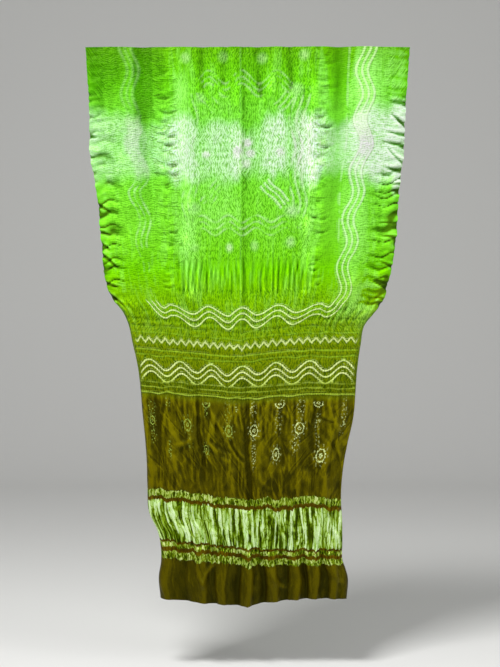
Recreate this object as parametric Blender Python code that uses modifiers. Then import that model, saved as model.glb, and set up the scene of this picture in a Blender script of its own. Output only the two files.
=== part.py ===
"""A bandhani cloth: one length of tie-dyed satin silk that hangs by its top edge.

Metres, +Z up. The origin is the middle of the top edge, the front faces -Y and the cloth hangs down -Z.
Thousands of tied dots pinch the silk, so it hangs narrower and shorter than it was woven. Its untied
selvedges ruffle, the untied channels beside the middle panel puff between cross creases, and the bands
woven with metal thread gather into upright pleats. A place on the cloth is given by two numbers: across,
from -1 at the left selvedge over 0 at the middle crease to 1 at the right one, and drop, the distance
below the top edge measured down the middle.
"""

from collections import namedtuple

import bmesh
import bpy
import numpy as np

NAME = "bandhani_cloth"
LENGTH = 1.305  # the drop of the bottom hem at the middle crease
THICKNESS = 0.0012
COLUMNS = 210  # squares of the fine grid, before it is thinned out
ROWS = 340
SHEET_TRIANGLES = 4900  # of one side after thinning

# How the cloth spreads at each drop. left and right are its silhouette. lift_left and lift_right are how
# much higher a woven line lies at the sides than at the crease. turn is how far each selvedge turns back.
Section = namedtuple("Section", "drop left right lift_left lift_right turn")
SECTIONS = (
    Section(0.000, -0.380, 0.379, 0.000, 0.000, 0.2),
    Section(0.150, -0.371, 0.369, 0.000, 0.000, 0.2),
    Section(0.252, -0.369, 0.365, 0.000, 0.000, 0.2),
    Section(0.324, -0.356, 0.355, 0.000, 0.000, 0.2),
    Section(0.454, -0.343, 0.346, 0.001, 0.002, 0.3),
    Section(0.547, -0.334, 0.331, 0.004, 0.005, 0.5),
    Section(0.599, -0.317, 0.317, 0.011, 0.009, 0.8),
    Section(0.629, -0.296, 0.299, 0.017, 0.013, 1.1),
    Section(0.662, -0.282, 0.275, 0.022, 0.017, 1.4),
    Section(0.713, -0.270, 0.264, 0.023, 0.018, 1.7),
    Section(0.776, -0.256, 0.255, 0.022, 0.014, 1.9),
    Section(0.820, -0.251, 0.252, 0.021, 0.012, 2.0),
    Section(0.878, -0.246, 0.246, 0.021, 0.010, 2.1),
    Section(0.939, -0.240, 0.232, 0.024, 0.010, 2.2),
    Section(1.000, -0.236, 0.222, 0.030, 0.012, 2.2),
    Section(1.050, -0.235, 0.218, 0.034, 0.013, 2.0),
    Section(1.121, -0.229, 0.221, 0.031, 0.008, 1.8),
    Section(1.160, -0.210, 0.221, 0.028, 0.004, 1.8),
    Section(1.195, -0.203, 0.221, 0.024, 0.004, 1.8),
    Section(1.223, -0.203, 0.228, 0.022, 0.010, 1.6),
    Section(1.254, -0.208, 0.234, 0.021, 0.016, 1.5),
    Section(1.305, -0.204, 0.231, 0.021, 0.019, 1.4),
)
TURNED_FROM = 0.90  # across where a selvedge starts to turn back
CREASE_X = -0.014  # of the middle crease, down to CREASE_LEAVES
CREASE_LEAVES = 0.75  # drop from which the crease wanders to x = 0
CREASE_CENTRED = 1.15

# Upright folds: a ridge, or a trough where height is negative.
Fold = namedtuple("Fold", "across drop_from drop_to width height")
FOLDS = (
    # the sunk channels beside the middle panel and the ridges that edge them
    Fold(-0.80, 0.00, 0.60, 0.090, 0.0045),
    Fold(-0.63, 0.00, 0.50, 0.050, -0.0060),
    Fold(-0.38, 0.00, 0.58, 0.055, 0.0040),
    Fold(0.42, 0.00, 0.58, 0.040, 0.0045),
    Fold(0.58, 0.00, 0.50, 0.045, -0.0085),
    Fold(0.73, 0.00, 0.60, 0.080, 0.0050),
    # short folds that fall from the top edge
    Fold(-0.245, 0.00, 0.09, 0.025, -0.0050),
    Fold(-0.11, 0.00, 0.08, 0.022, -0.0040),
    Fold(-0.05, 0.00, 0.12, 0.030, 0.0030),
    Fold(0.10, 0.00, 0.10, 0.022, -0.0045),
    Fold(0.19, 0.00, 0.11, 0.030, 0.0040),
    Fold(0.285, 0.00, 0.09, 0.022, -0.0045),
    # the wide ground below the tied bands
    Fold(-0.90, 0.80, 1.06, 0.045, 0.0050),
    Fold(-0.80, 0.80, 0.98, 0.040, -0.0055),
    Fold(-0.65, 0.80, 1.05, 0.055, 0.0060),
    Fold(-0.52, 0.80, 0.96, 0.030, 0.0035),
    Fold(-0.41, 0.82, 1.02, 0.030, -0.0055),
    Fold(-0.28, 0.80, 0.93, 0.040, 0.0040),
    Fold(-0.14, 0.84, 1.05, 0.045, 0.0055),
    Fold(0.03, 0.80, 1.06, 0.035, -0.0090),
    Fold(0.14, 0.88, 1.05, 0.030, 0.0040),
    Fold(0.26, 0.80, 1.00, 0.045, 0.0040),
    Fold(0.36, 0.80, 0.98, 0.035, -0.0035),
    Fold(0.49, 0.88, 1.06, 0.050, 0.0040),
    Fold(0.62, 0.80, 0.99, 0.040, -0.0050),
    Fold(0.78, 0.80, 1.05, 0.045, 0.0060),
    Fold(0.92, 0.80, 1.05, 0.040, -0.0060),
    # the flutes of the plain end
    Fold(-0.87, 1.20, 1.34, 0.070, 0.0060),
    Fold(-0.68, 1.20, 1.34, 0.070, -0.0070),
    Fold(-0.48, 1.20, 1.34, 0.055, 0.0075),
    Fold(-0.36, 1.20, 1.34, 0.035, -0.0050),
    Fold(-0.25, 1.20, 1.34, 0.040, 0.0055),
    Fold(-0.10, 1.20, 1.34, 0.050, -0.0070),
    Fold(0.02, 1.19, 1.34, 0.032, 0.0085),
    Fold(0.15, 1.20, 1.34, 0.042, -0.0070),
    Fold(0.27, 1.20, 1.34, 0.040, 0.0070),
    Fold(0.38, 1.20, 1.34, 0.036, -0.0075),
    Fold(0.48, 1.20, 1.34, 0.034, 0.0065),
    Fold(0.57, 1.20, 1.34, 0.030, -0.0065),
    Fold(0.67, 1.20, 1.34, 0.034, 0.0065),
    Fold(0.76, 1.20, 1.34, 0.030, -0.0070),
    Fold(0.85, 1.20, 1.34, 0.040, 0.0070),
)

# Slanting creases, each a straight ridge or trough from one place to another.
Crease = namedtuple("Crease", "x_from drop_from x_to drop_to width height")
CREASES = (
    # big ruffles of the selvedges that stand out from the even ones
    Crease(-0.372, 0.205, -0.310, 0.215, 0.010, -0.0060),
    Crease(-0.372, 0.275, -0.300, 0.250, 0.009, -0.0050),
    Crease(-0.350, 0.375, -0.310, 0.384, 0.008, -0.0060),
    Crease(-0.350, 0.405, -0.300, 0.445, 0.008, -0.0070),
    Crease(-0.338, 0.468, -0.290, 0.480, 0.008, -0.0060),
    Crease(-0.335, 0.520, -0.295, 0.500, 0.008, -0.0060),
    Crease(-0.325, 0.560, -0.275, 0.590, 0.008, -0.0060),
    Crease(-0.310, 0.590, -0.255, 0.640, 0.009, 0.0060),
    Crease(0.372, 0.130, 0.320, 0.095, 0.008, -0.0060),
    Crease(0.372, 0.215, 0.310, 0.190, 0.009, -0.0070),
    Crease(0.372, 0.255, 0.320, 0.250, 0.008, -0.0060),
    Crease(0.360, 0.325, 0.310, 0.315, 0.008, -0.0060),
    Crease(0.350, 0.400, 0.300, 0.420, 0.009, -0.0060),
    Crease(0.335, 0.500, 0.285, 0.480, 0.008, -0.0060),
    Crease(0.325, 0.548, 0.275, 0.562, 0.011, -0.0090),
    Crease(0.315, 0.580, 0.270, 0.600, 0.010, 0.0060),
    Crease(0.300, 0.610, 0.262, 0.650, 0.009, 0.0050),
    # wrinkles that cross the wide ground at a slant
    Crease(-0.085, 0.835, -0.055, 0.895, 0.006, 0.0040),
    Crease(-0.060, 0.915, -0.010, 0.965, 0.005, 0.0050),
    Crease(-0.070, 0.905, -0.020, 0.960, 0.005, -0.0040),
    Crease(-0.120, 0.930, -0.060, 0.965, 0.006, -0.0035),
    Crease(-0.190, 0.880, -0.150, 0.935, 0.010, 0.0035),
    Crease(-0.150, 0.940, -0.190, 0.965, 0.008, -0.0030),
    Crease(0.095, 0.860, 0.050, 0.930, 0.010, 0.0040),
    Crease(0.170, 0.830, 0.205, 0.900, 0.007, 0.0050),
    Crease(0.160, 0.865, 0.205, 0.875, 0.004, -0.0035),
    Crease(0.060, 0.960, 0.110, 0.985, 0.008, 0.0030),
    Crease(-0.080, 1.255, -0.100, 1.205, 0.007, 0.0045),
    Crease(0.045, 1.275, 0.025, 1.215, 0.007, 0.0050),
)

# Cross creases of the untied channels, with a puff of cloth between each two.
Channel = namedtuple("Channel", "across width drop_from drop_to spacing height")
CHANNELS = (
    Channel(-0.51, 0.075, 0.04, 0.56, 0.0225, 0.0050),
    Channel(0.495, 0.065, 0.00, 0.56, 0.0235, 0.0054),
)

# Gathered stretches with upright pleats.
Gather = namedtuple("Gather", "drop_from drop_to across_from across_to pleats height fade")
GATHERS = (
    Gather(0.495, 0.572, -0.42, 0.44, 31, 0.0024, 0.016),
    Gather(0.600, 0.825, -1.00, 1.00, 46, 0.0012, 0.020),
    Gather(1.052, 1.076, -1.00, 1.00, 50, 0.0016, 0.006),
    Gather(1.083, 1.174, -1.00, 1.00, 37, 0.0046, 0.010),
    Gather(1.176, 1.212, -1.00, 1.00, 52, 0.0017, 0.006),
)

# Rows of ties that pinch the cloth from side to side.
PINCHED_DROPS = (0.650, 0.668, 0.722, 0.738, 0.808, 0.824, 1.078, 1.175, 1.191)
PINCH_DEPTH = 0.0022
PINCH_WIDTH = 0.0045

RUFFLE_PITCH = 0.0275  # of the selvedges, down the cloth
RUFFLE_HEIGHT = 0.0085
RUFFLE_FROM = 0.76  # across where the ruffles begin
RUFFLE_END = 0.66  # drop where they run out
SCALLOP = 0.0035  # how far the ruffles move the selvedge in and out
CREASE_STEP = 0.0045  # how far the right half lies behind the left one at the middle crease


def along(column, drop):
    """The named column of SECTIONS at each drop, on a smooth curve through the rows."""
    stops = np.array([row.drop for row in SECTIONS])
    values = np.array([getattr(row, column) for row in SECTIONS])
    slopes = np.gradient(values, stops)
    i = np.clip(np.searchsorted(stops, drop) - 1, 0, len(stops) - 2)
    gap = stops[i + 1] - stops[i]
    t = (drop - stops[i]) / gap
    start = (2 * t**3 - 3 * t**2 + 1) * values[i] + (t**3 - 2 * t**2 + t) * gap * slopes[i]
    end = (3 * t**2 - 2 * t**3) * values[i + 1] + (t**3 - t**2) * gap * slopes[i + 1]
    return start + end


def step(value, start, end):
    """0 before start, 1 after end, and a smooth rise between."""
    t = np.clip((value - start) / (end - start), 0.0, 1.0)
    return t * t * (3 - 2 * t)


def window(value, start, end, fade):
    """1 between start and end, fading to 0 over fade outside them."""
    return step(value, start - fade, start) * (1 - step(value, end, end + fade))


def bell(value, width):
    return np.exp(-((value / width) ** 2))


def ridge(phase):
    """One rounded, slightly lopsided pleat for each whole step of phase, from -1 to 1."""
    return np.sin(2 * np.pi * phase) + 0.28 * np.sin(4 * np.pi * phase + 0.9)


def puff(phase):
    """One round puff for each whole step of phase, from 0 to 1, with a sharp crease between two."""
    return np.abs(np.sin(np.pi * phase)) ** 0.7


def upright_folds(across, drop):
    out = np.zeros_like(across)
    for fold in FOLDS:
        reach = window(drop, fold.drop_from, fold.drop_to, 0.03)
        drift = 0.012 * np.sin(31 * drop + 40 * fold.across)
        out += fold.height * reach * bell(across - fold.across - drift, fold.width)
    return out


def slanting_creases(x, drop):
    out = np.zeros_like(x)
    for crease in CREASES:
        run = np.array([crease.x_to - crease.x_from, crease.drop_to - crease.drop_from])
        length = np.hypot(*run)
        dx, dd = x - crease.x_from, drop - crease.drop_from
        t = (dx * run[0] + dd * run[1]) / length**2
        aside = (dx * run[1] - dd * run[0]) / length
        aside += 0.08 * length * np.sin(np.pi * t)
        out += crease.height * window(t, 0.1, 0.9, 0.35) * bell(aside, crease.width)
    return out


def channel_puffs(across, drop):
    out = np.zeros_like(across)
    for channel in CHANNELS:
        place = bell(across - channel.across, channel.width)
        place *= window(drop, channel.drop_from, channel.drop_to, 0.04)
        bend = 5.0 * (across - channel.across) ** 2 / channel.width
        phase = (drop + 0.004 * bend) / channel.spacing
        phase += 0.30 * np.sin(37 * drop + 9 * channel.across) + 0.18 * np.sin(83 * drop)
        out += channel.height * place * puff(phase)
    return out


def gathered_pleats(across, drop):
    out = np.zeros_like(across)
    for gather in GATHERS:
        place = window(drop, gather.drop_from, gather.drop_to, gather.fade)
        place *= window(across, gather.across_from, gather.across_to, 0.04)
        phase = (across + 1) / 2 * gather.pleats
        phase += 0.42 * np.sin(7.3 * across + 19 * drop) + 0.30 * np.sin(17.1 * across - 43 * drop)
        swell = 0.75 + 0.25 * np.sin(11 * across + 3 * gather.pleats)
        out += gather.height * place * swell * ridge(phase)
    return out


def selvedge_ruffles(across, drop):
    """(how far out, how far sideways) the ruffles move the cloth near its selvedges."""
    edge = np.clip((np.abs(across) - RUFFLE_FROM) / (1 - RUFFLE_FROM), 0, 1)
    side = np.sign(across)
    place = 1 - step(drop, RUFFLE_END - 0.06, RUFFLE_END)
    phase = drop / RUFFLE_PITCH - 0.45 * side * edge - 0.25 * edge
    phase += 0.55 * np.sin(23 * drop + 1.3 * side) + 0.33 * np.sin(57 * drop + 1.9 * side)
    swell = 0.70 + 0.30 * np.sin(29 * drop - 2.0 * side)
    small = 0.22 * np.sin(2 * np.pi * (2.6 * phase + edge))
    out = RUFFLE_HEIGHT * place * swell * edge**1.4 * (ridge(phase) + small)
    sideways = SCALLOP * place * side * edge**2 * (np.sin(2 * np.pi * phase + 1.0) - 0.6)
    return out, sideways


def pinched_rows(drop):
    return -PINCH_DEPTH * sum(bell(drop - row, PINCH_WIDTH) for row in PINCHED_DROPS)


def middle_crease(across, drop):
    """The lengthwise crease: the left half comes up to it and the right half starts behind it."""
    behind = step(across, -0.004, 0.008) * np.exp(-np.clip(across, 0, 1) / 0.10)
    raised = np.exp(np.minimum(across, 0) / 0.05) * (1 - step(across, -0.004, 0.008))
    return CREASE_STEP * (0.35 * raised - behind) * (1 - 0.6 * step(drop, 0.5, 0.9))


def spread(across, drop):
    """(x, how far out) of the cloth before its folds: its width, and its selvedges turned back."""
    middle = CREASE_X * (1 - step(drop, CREASE_LEAVES, CREASE_CENTRED))
    side = np.sign(across)
    reach = np.where(across < 0, along("left", drop), along("right", drop)) - middle
    turn = along("turn", drop)
    # the strip past TURNED_FROM bends round through the angle turn, and its outermost point is the outline
    widest = np.sin(np.minimum(turn, np.pi / 2)) / turn
    strip = (1 - TURNED_FROM) / (TURNED_FROM + (1 - TURNED_FROM) * widest) * np.abs(reach) * TURNED_FROM
    flat = np.abs(reach) - strip * widest
    s = np.clip((np.abs(across) - TURNED_FROM) / (1 - TURNED_FROM), 0, 1)
    size = np.where(s > 0, flat + strip * np.sin(turn * s) / turn, flat * np.abs(across) / TURNED_FROM)
    back = strip * (1 - np.cos(turn * s)) / turn
    return middle + side * size, -back


def hung(across, drop):
    """The places in space of the cloth at across and drop: x, y and z."""
    x, out = spread(across, drop)
    ruffle, sideways = selvedge_ruffles(across, drop)
    out += ruffle
    out += 0.006 * np.cos(3.1 * across - 1.2) * np.sin(2.6 * drop + 0.4)
    out += upright_folds(across, drop)
    out += slanting_creases(x, drop)
    out += channel_puffs(across, drop)
    out += gathered_pleats(across, drop)
    out += pinched_rows(drop)
    out += middle_crease(across, drop)
    rise = np.where(
        across < 0,
        along("lift_left", drop) * np.abs(across),
        along("lift_right", drop) * np.sin(np.pi * 0.62 * np.abs(across) ** 0.8),
    )
    return x + sideways, -out, rise - drop


def cloth_sheet():
    """The cloth as an open sheet: a fine grid whose points are moved to where they hang."""
    shape = bmesh.new()
    bmesh.ops.create_grid(shape, x_segments=COLUMNS, y_segments=ROWS, size=1.0)
    flat = np.array([point.co for point in shape.verts])
    across = flat[:, 0]
    drop = (1 - flat[:, 1]) / 2 * LENGTH
    for point, place in zip(shape.verts, np.column_stack(hung(across, drop))):
        point.co = place
    mesh = bpy.data.meshes.new(NAME)
    shape.to_mesh(mesh)
    shape.free()
    mesh.shade_smooth()
    return bpy.data.objects.new(NAME, mesh)


def thin_out_and_thicken(cloth):
    """Fewer triangles where the cloth is even, and then its thickness."""
    fewer = cloth.modifiers.new("fewer", "DECIMATE")
    fewer.decimate_type = "COLLAPSE"
    fewer.ratio = SHEET_TRIANGLES / (2 * COLUMNS * ROWS)
    thick = cloth.modifiers.new("thick", "SOLIDIFY")
    thick.thickness = THICKNESS
    thick.offset = 0.0


def silk():
    material = bpy.data.materials.new("dyed_silk")
    material.use_nodes = True
    shader = material.node_tree.nodes["Principled BSDF"]
    shader.inputs["Base Color"].default_value = (0.13, 0.55, 0.02, 1)
    shader.inputs["Roughness"].default_value = 0.45
    shader.inputs["Metallic"].default_value = 0.0
    return material


def main():
    for old in list(bpy.data.objects):
        bpy.data.objects.remove(old)
    cloth = cloth_sheet()
    thin_out_and_thicken(cloth)
    cloth.data.materials.append(silk())
    shelf = bpy.data.collections.new(NAME)
    bpy.context.scene.collection.children.link(shelf)
    shelf.objects.link(cloth)


main()
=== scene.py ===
"""The looks of a bandhani cloth, tie-dyed satin silk that hangs by its top edge.

Metres, +Z up. The origin is the middle of the top edge, the front faces -Y and the cloth hangs down -Z.
A place on the cloth is given by two numbers: across, from -1 at the left selvedge over 0 at the middle
crease to 1 at the right one, and drop, the distance below the top edge measured down the middle.
"""

from collections import namedtuple

import bmesh
import bpy
import numpy as np
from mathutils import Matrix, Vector


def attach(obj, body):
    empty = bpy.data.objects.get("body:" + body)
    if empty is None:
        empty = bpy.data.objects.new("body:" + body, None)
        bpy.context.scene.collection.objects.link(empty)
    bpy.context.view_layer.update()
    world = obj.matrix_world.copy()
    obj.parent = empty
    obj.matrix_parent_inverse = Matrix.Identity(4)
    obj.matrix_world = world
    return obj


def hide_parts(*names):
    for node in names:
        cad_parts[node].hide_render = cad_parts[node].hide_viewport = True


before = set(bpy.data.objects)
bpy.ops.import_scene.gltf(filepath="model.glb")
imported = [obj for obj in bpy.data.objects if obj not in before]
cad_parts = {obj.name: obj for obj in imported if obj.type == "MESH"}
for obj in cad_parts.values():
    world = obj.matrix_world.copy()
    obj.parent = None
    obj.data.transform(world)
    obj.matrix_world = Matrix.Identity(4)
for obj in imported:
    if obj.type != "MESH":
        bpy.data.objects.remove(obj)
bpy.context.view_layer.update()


def table(columns, rows):
    """The rows as tuples with named columns."""
    row = namedtuple("Row", columns)
    return [row(*values) for values in rows]


# ---------------------------------------------------------------- the hanging shape

LENGTH = 1.305  # the drop of the bottom hem at the middle crease
COLUMNS = 272  # of squares in the sheet
ROWS = 366
UPPER_HALF_WIDTH = 0.36  # of the cloth, for the figures and puckers of its upper part
LOWER_HALF_WIDTH = 0.25  # and of its lower part
BROWN = (0.815, 0.845)  # drops between which the ground turns from green to brown

# How the cloth spreads at each drop. left and right are its silhouette. lift_left and lift_right are how
# much higher a woven line lies at the sides than at the crease. turn is how far each selvedge turns back.
SECTIONS = table("drop left right lift_left lift_right turn", (
    (0, -0.38, 0.379, 0, 0, 0.2),
    (0.15, -0.371, 0.369, 0, 0, 0.2),
    (0.252, -0.369, 0.365, 0, 0, 0.2),
    (0.324, -0.356, 0.355, 0, 0, 0.2),
    (0.454, -0.343, 0.346, 0.001, 0.002, 0.3),
    (0.547, -0.334, 0.331, 0.004, 0.005, 0.5),
    (0.599, -0.317, 0.317, 0.011, 0.009, 0.8),
    (0.629, -0.296, 0.299, 0.017, 0.013, 1.1),
    (0.662, -0.282, 0.275, 0.022, 0.017, 1.4),
    (0.713, -0.27, 0.264, 0.023, 0.018, 1.7),
    (0.776, -0.256, 0.255, 0.022, 0.014, 1.9),
    (0.82, -0.251, 0.252, 0.021, 0.012, 2),
    (0.878, -0.246, 0.246, 0.021, 0.01, 2.1),
    (0.939, -0.24, 0.232, 0.024, 0.01, 2.2),
    (1, -0.236, 0.222, 0.03, 0.012, 2.2),
    (1.05, -0.235, 0.218, 0.034, 0.009, 2),
    (1.121, -0.229, 0.221, 0.031, 0.001, 1.8),
    (1.16, -0.21, 0.221, 0.028, -0.001, 1.8),
    (1.195, -0.203, 0.221, 0.024, 0, 1.8),
    (1.223, -0.203, 0.228, 0.022, 0.007, 1.6),
    (1.254, -0.208, 0.234, 0.021, 0.016, 1.5),
    (1.305, -0.204, 0.231, 0.021, 0.019, 1.4),
))
TURNED_FROM = 0.9  # across where a selvedge starts to turn back
CREASE_X = -0.014  # of the middle crease, down to CREASE_LEAVES
CREASE_LEAVES = 0.75  # drop from which the crease wanders to x = 0
CREASE_CENTRED = 1.15

# Upright folds: a ridge, or a trough where height is negative.
FOLDS = table("across drop_from drop_to width height", (
    # the sunk channels beside the middle panel and the ridges that edge them
    (-0.8, 0, 0.6, 0.09, 0.0045),
    (-0.63, 0, 0.5, 0.05, -0.006),
    (-0.38, 0, 0.58, 0.055, 0.004),
    (0.42, 0, 0.58, 0.04, 0.0045),
    (0.58, 0, 0.14, 0.045, -0.0085),
    (0.58, 0.2, 0.5, 0.045, -0.004),
    (0.73, 0, 0.6, 0.08, 0.005),
    # short folds that fall from the top edge
    (-0.245, 0, 0.09, 0.025, -0.005),
    (-0.11, 0, 0.08, 0.022, -0.004),
    (-0.05, 0, 0.12, 0.03, 0.003),
    (0.1, 0, 0.1, 0.022, -0.0045),
    (0.19, 0, 0.11, 0.03, 0.004),
    (0.285, 0, 0.09, 0.022, -0.0045),
    # the wide ground below the tied bands
    (-0.9, 0.8, 1.06, 0.045, 0.005),
    (-0.8, 0.8, 0.98, 0.04, -0.0055),
    (-0.65, 0.8, 1.05, 0.055, 0.006),
    (-0.52, 0.8, 0.96, 0.03, 0.0035),
    (-0.41, 0.82, 1.02, 0.03, -0.0055),
    (-0.28, 0.8, 0.93, 0.04, 0.004),
    (-0.14, 0.84, 1.05, 0.045, 0.0055),
    (0.03, 0.8, 1.06, 0.035, -0.009),
    (0.14, 0.88, 1.05, 0.03, 0.004),
    (0.26, 0.8, 1, 0.045, 0.004),
    (0.36, 0.8, 0.98, 0.035, -0.0035),
    (0.49, 0.88, 1.06, 0.05, 0.004),
    (0.62, 0.8, 0.99, 0.04, -0.005),
    (0.78, 0.8, 1.05, 0.045, 0.006),
    (0.92, 0.8, 1.05, 0.04, -0.006),
    # the flutes of the plain end
    (-0.87, 1.2, 1.34, 0.07, 0.006),
    (-0.68, 1.2, 1.34, 0.07, -0.007),
    (-0.48, 1.2, 1.34, 0.055, 0.0075),
    (-0.36, 1.2, 1.34, 0.035, -0.005),
    (-0.25, 1.2, 1.34, 0.04, 0.0055),
    (-0.1, 1.2, 1.34, 0.05, -0.007),
    (0.02, 1.19, 1.34, 0.032, 0.0085),
    (0.15, 1.2, 1.34, 0.042, -0.007),
    (0.27, 1.2, 1.34, 0.04, 0.007),
    (0.38, 1.2, 1.34, 0.036, -0.0075),
    (0.48, 1.2, 1.34, 0.034, 0.0065),
    (0.57, 1.2, 1.34, 0.03, -0.0065),
    (0.67, 1.2, 1.34, 0.034, 0.0065),
    (0.76, 1.2, 1.34, 0.03, -0.007),
    (0.85, 1.2, 1.34, 0.04, 0.007),
))

# Slanting creases, each a straight ridge or trough from one place to another.
CREASES = table("x_from drop_from x_to drop_to width height", (
    # wrinkles that cross the wide ground at a slant
    (-0.089, 0.838, -0.056, 0.905, 0.005, 0.0042),
    (-0.1, 0.848, -0.072, 0.895, 0.005, -0.0036),
    (-0.046, 0.922, -0.014, 0.972, 0.0032, 0.003),
    (-0.037, 0.912, -0.008, 0.958, 0.0032, 0.0034),
    (-0.042, 0.918, -0.012, 0.966, 0.0026, -0.0024),
    (-0.084, 0.926, -0.04, 0.948, 0.005, -0.0034),
    (-0.082, 0.945, -0.042, 0.972, 0.005, 0.003),
    (-0.112, 0.9, -0.07, 0.95, 0.0055, 0.0034),
    (-0.17, 0.945, -0.13, 0.925, 0.006, 0.0034),
    (-0.19, 0.88, -0.158, 0.94, 0.008, 0.0036),
    (-0.172, 0.975, -0.15, 1.025, 0.009, 0.0036),
    (-0.16, 0.835, -0.152, 0.88, 0.006, 0.004),
    (-0.128, 0.83, -0.118, 0.868, 0.007, 0.004),
    (-0.036, 0.835, -0.026, 0.885, 0.0045, 0.0036),
    (0.05, 0.835, 0.03, 0.9, 0.0055, 0.0044),
    (0.034, 0.93, 0.048, 0.985, 0.007, 0.0036),
    (0.07, 0.85, 0.072, 0.925, 0.004, 0.0034),
    (0.096, 0.872, 0.078, 0.858, 0.0035, 0.0026),
    (0.14, 0.835, 0.144, 0.885, 0.0055, 0.0038),
    (0.188, 0.835, 0.212, 0.9, 0.005, 0.0052),
    (0.21, 0.895, 0.214, 0.96, 0.0045, 0.004),
    (0.17, 0.874, 0.205, 0.884, 0.0035, -0.0034),
    (0.132, 1, 0.118, 1.04, 0.008, 0.004),
    (0.026, 1, 0.05, 1.035, 0.005, 0.0034),
    # and the plain end
    (-0.118, 1.212, -0.104, 1.265, 0.0045, 0.0052),
    (-0.08, 1.215, -0.104, 1.262, 0.005, 0.0052),
    (0.05, 1.225, 0.086, 1.275, 0.006, 0.0052),
    (0.195, 1.215, 0.215, 1.262, 0.006, 0.0056),
))

# The big wedge-shaped folds of the selvedges. Each opens from its tip to the edge of the cloth.
WEDGES = table("x_from drop_from x_to drop_to opening depth", (
    (-0.349, 0.207, -0.371, 0.21, 0.006, 0.006),
    (-0.347, 0.256, -0.366, 0.256, 0.003, 0.004),
    (-0.315, 0.389, -0.352, 0.368, 0.006, 0.006),
    (-0.31, 0.44, -0.345, 0.433, 0.005, 0.006),
    (-0.317, 0.478, -0.343, 0.461, 0.0055, 0.005),
    (-0.296, 0.522, -0.338, 0.489, 0.0055, 0.006),
    (-0.294, 0.565, -0.331, 0.558, 0.006, 0.006),
    (-0.284, 0.622, -0.326, 0.583, 0.005, 0.006),
    (0.322, 0.122, 0.368, 0.133, 0.009, 0.005),
    (0.328, 0.152, 0.366, 0.179, 0.0075, 0.007),
    (0.317, 0.198, 0.366, 0.203, 0.0068, 0.007),
    (0.317, 0.221, 0.364, 0.231, 0.008, 0.007),
    (0.317, 0.226, 0.35, 0.259, 0.0035, 0.005),
    (0.312, 0.28, 0.361, 0.287, 0.009, 0.007),
    (0.326, 0.317, 0.35, 0.319, 0.004, 0.004),
    (0.331, 0.333, 0.357, 0.338, 0.008, 0.005),
    (0.289, 0.412, 0.347, 0.41, 0.003, 0.004),
    (0.294, 0.436, 0.347, 0.447, 0.0045, 0.006),
    (0.298, 0.502, 0.333, 0.511, 0.004, 0.005),
    (0.28, 0.546, 0.329, 0.562, 0.015, 0.009),
    (0.289, 0.59, 0.322, 0.597, 0.0045, 0.005),
))

# The untied channels. Soft puffs of cloth follow each other down them, each over a crease like a smile.
CHANNELS = table("across half_width drop_from drop_to spacing height", (
    (-0.515, 0.06, 0.04, 0.56, 0.015, 0.0034),
    (0.485, 0.045, 0, 0.56, 0.015, 0.0038),
))
SMILE_DEPTH = 0.0046
# The few smiles that are deeper than the rest.
SMILES = table("across drop half_width depth", (
    (0.5, 0.036, 0.06, 0.005),
    (0.52, 0.092, 0.06, 0.004),
    (0.5, 0.184, 0.055, 0.0062),
    (0.5, 0.231, 0.05, 0.005),
    (0.5, 0.4, 0.05, 0.0046),
    (0.5, 0.43, 0.06, 0.0042),
    (-0.48, 0.15, 0.06, 0.004),
    (-0.46, 0.205, 0.05, 0.005),
    (-0.465, 0.226, 0.05, 0.005),
    (-0.455, 0.273, 0.05, 0.0056),
    (-0.45, 0.295, 0.045, 0.0046),
    (-0.47, 0.43, 0.045, 0.003),
))

# Gathered stretches with upright pleats.
GATHERS = table("drop_from drop_to across_from across_to pleats height fade", (
    (0.508, 0.566, -0.44, 0.46, 50, 0.0016, 0.022),
    (0.6, 0.825, -1, 1, 46, 0.0012, 0.02),
    (0.845, 0.885, -1, 1, 36, 0.0016, 0.03),
    (1.058, 1.076, -1, 1, 50, 0.001, 0.012),
    (1.176, 1.212, -1, 1, 52, 0.0017, 0.006),
))

# Rows of ties that pinch the cloth from side to side.
PINCHED_DROPS = (0.65, 0.668, 0.722, 0.738, 0.808, 0.824, 1.078, 1.175, 1.191)
PINCH_DEPTH = 0.0022
PINCH_WIDTH = 0.0045

RIPPLE_SPACING = 0.015  # between the small folds of the selvedges
RIPPLE_DEPTH = 0.0065
RUFFLES_END = 0.65  # drop where all folds of the selvedges run out
PUFF_HEIGHT = 0.0095  # of the puffs between them lower down
SCALLOP = 0.0022  # how far they move the selvedge in and out
CREASE_STEP = 0.0024  # how far the right half lies behind the left one at the middle crease
PUCKER_HEIGHT = 0.0011  # of the small puckers between the ties
CRUMPLE_HEIGHT = 0.0019  # of the wrinkles in the stretches without ties
METAL_PLEAT_HEIGHT = 0.0034  # of the wide band of metal thread
COMB_HEIGHT = 0.0022  # of the comb of thin ridges over the first cross band
COMB_ACROSS = (-0.44, 0.46)  # from where to where it runs


def along(column, drop):
    """The named column of SECTIONS at each drop, on a smooth curve through the rows."""
    stops = np.array([row.drop for row in SECTIONS])
    values = np.array([getattr(row, column) for row in SECTIONS])
    slopes = np.gradient(values, stops)
    i = np.clip(np.searchsorted(stops, drop) - 1, 0, len(stops) - 2)
    gap = stops[i + 1] - stops[i]
    t = (drop - stops[i]) / gap
    start = (2 * t**3 - 3 * t**2 + 1) * values[i] + (t**3 - 2 * t**2 + t) * gap * slopes[i]
    end = (3 * t**2 - 2 * t**3) * values[i + 1] + (t**3 - t**2) * gap * slopes[i + 1]
    return start + end


def half_width(drop):
    """Half the cloth's width in metres, as its small figures see it."""
    return np.interp(drop, (0, 0.5, 0.6, 0.8, 1), (0.36, 0.335, 0.3, 0.25, 0.236))


def step(value, start, end):
    """0 before start, 1 after end, and a smooth rise between."""
    t = np.clip((value - start) / (end - start), 0, 1)
    return t * t * (3 - 2 * t)


def until(value, start, end):
    """1 before start, 0 after end, and a smooth fall between."""
    return 1 - step(value, start, end)


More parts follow.
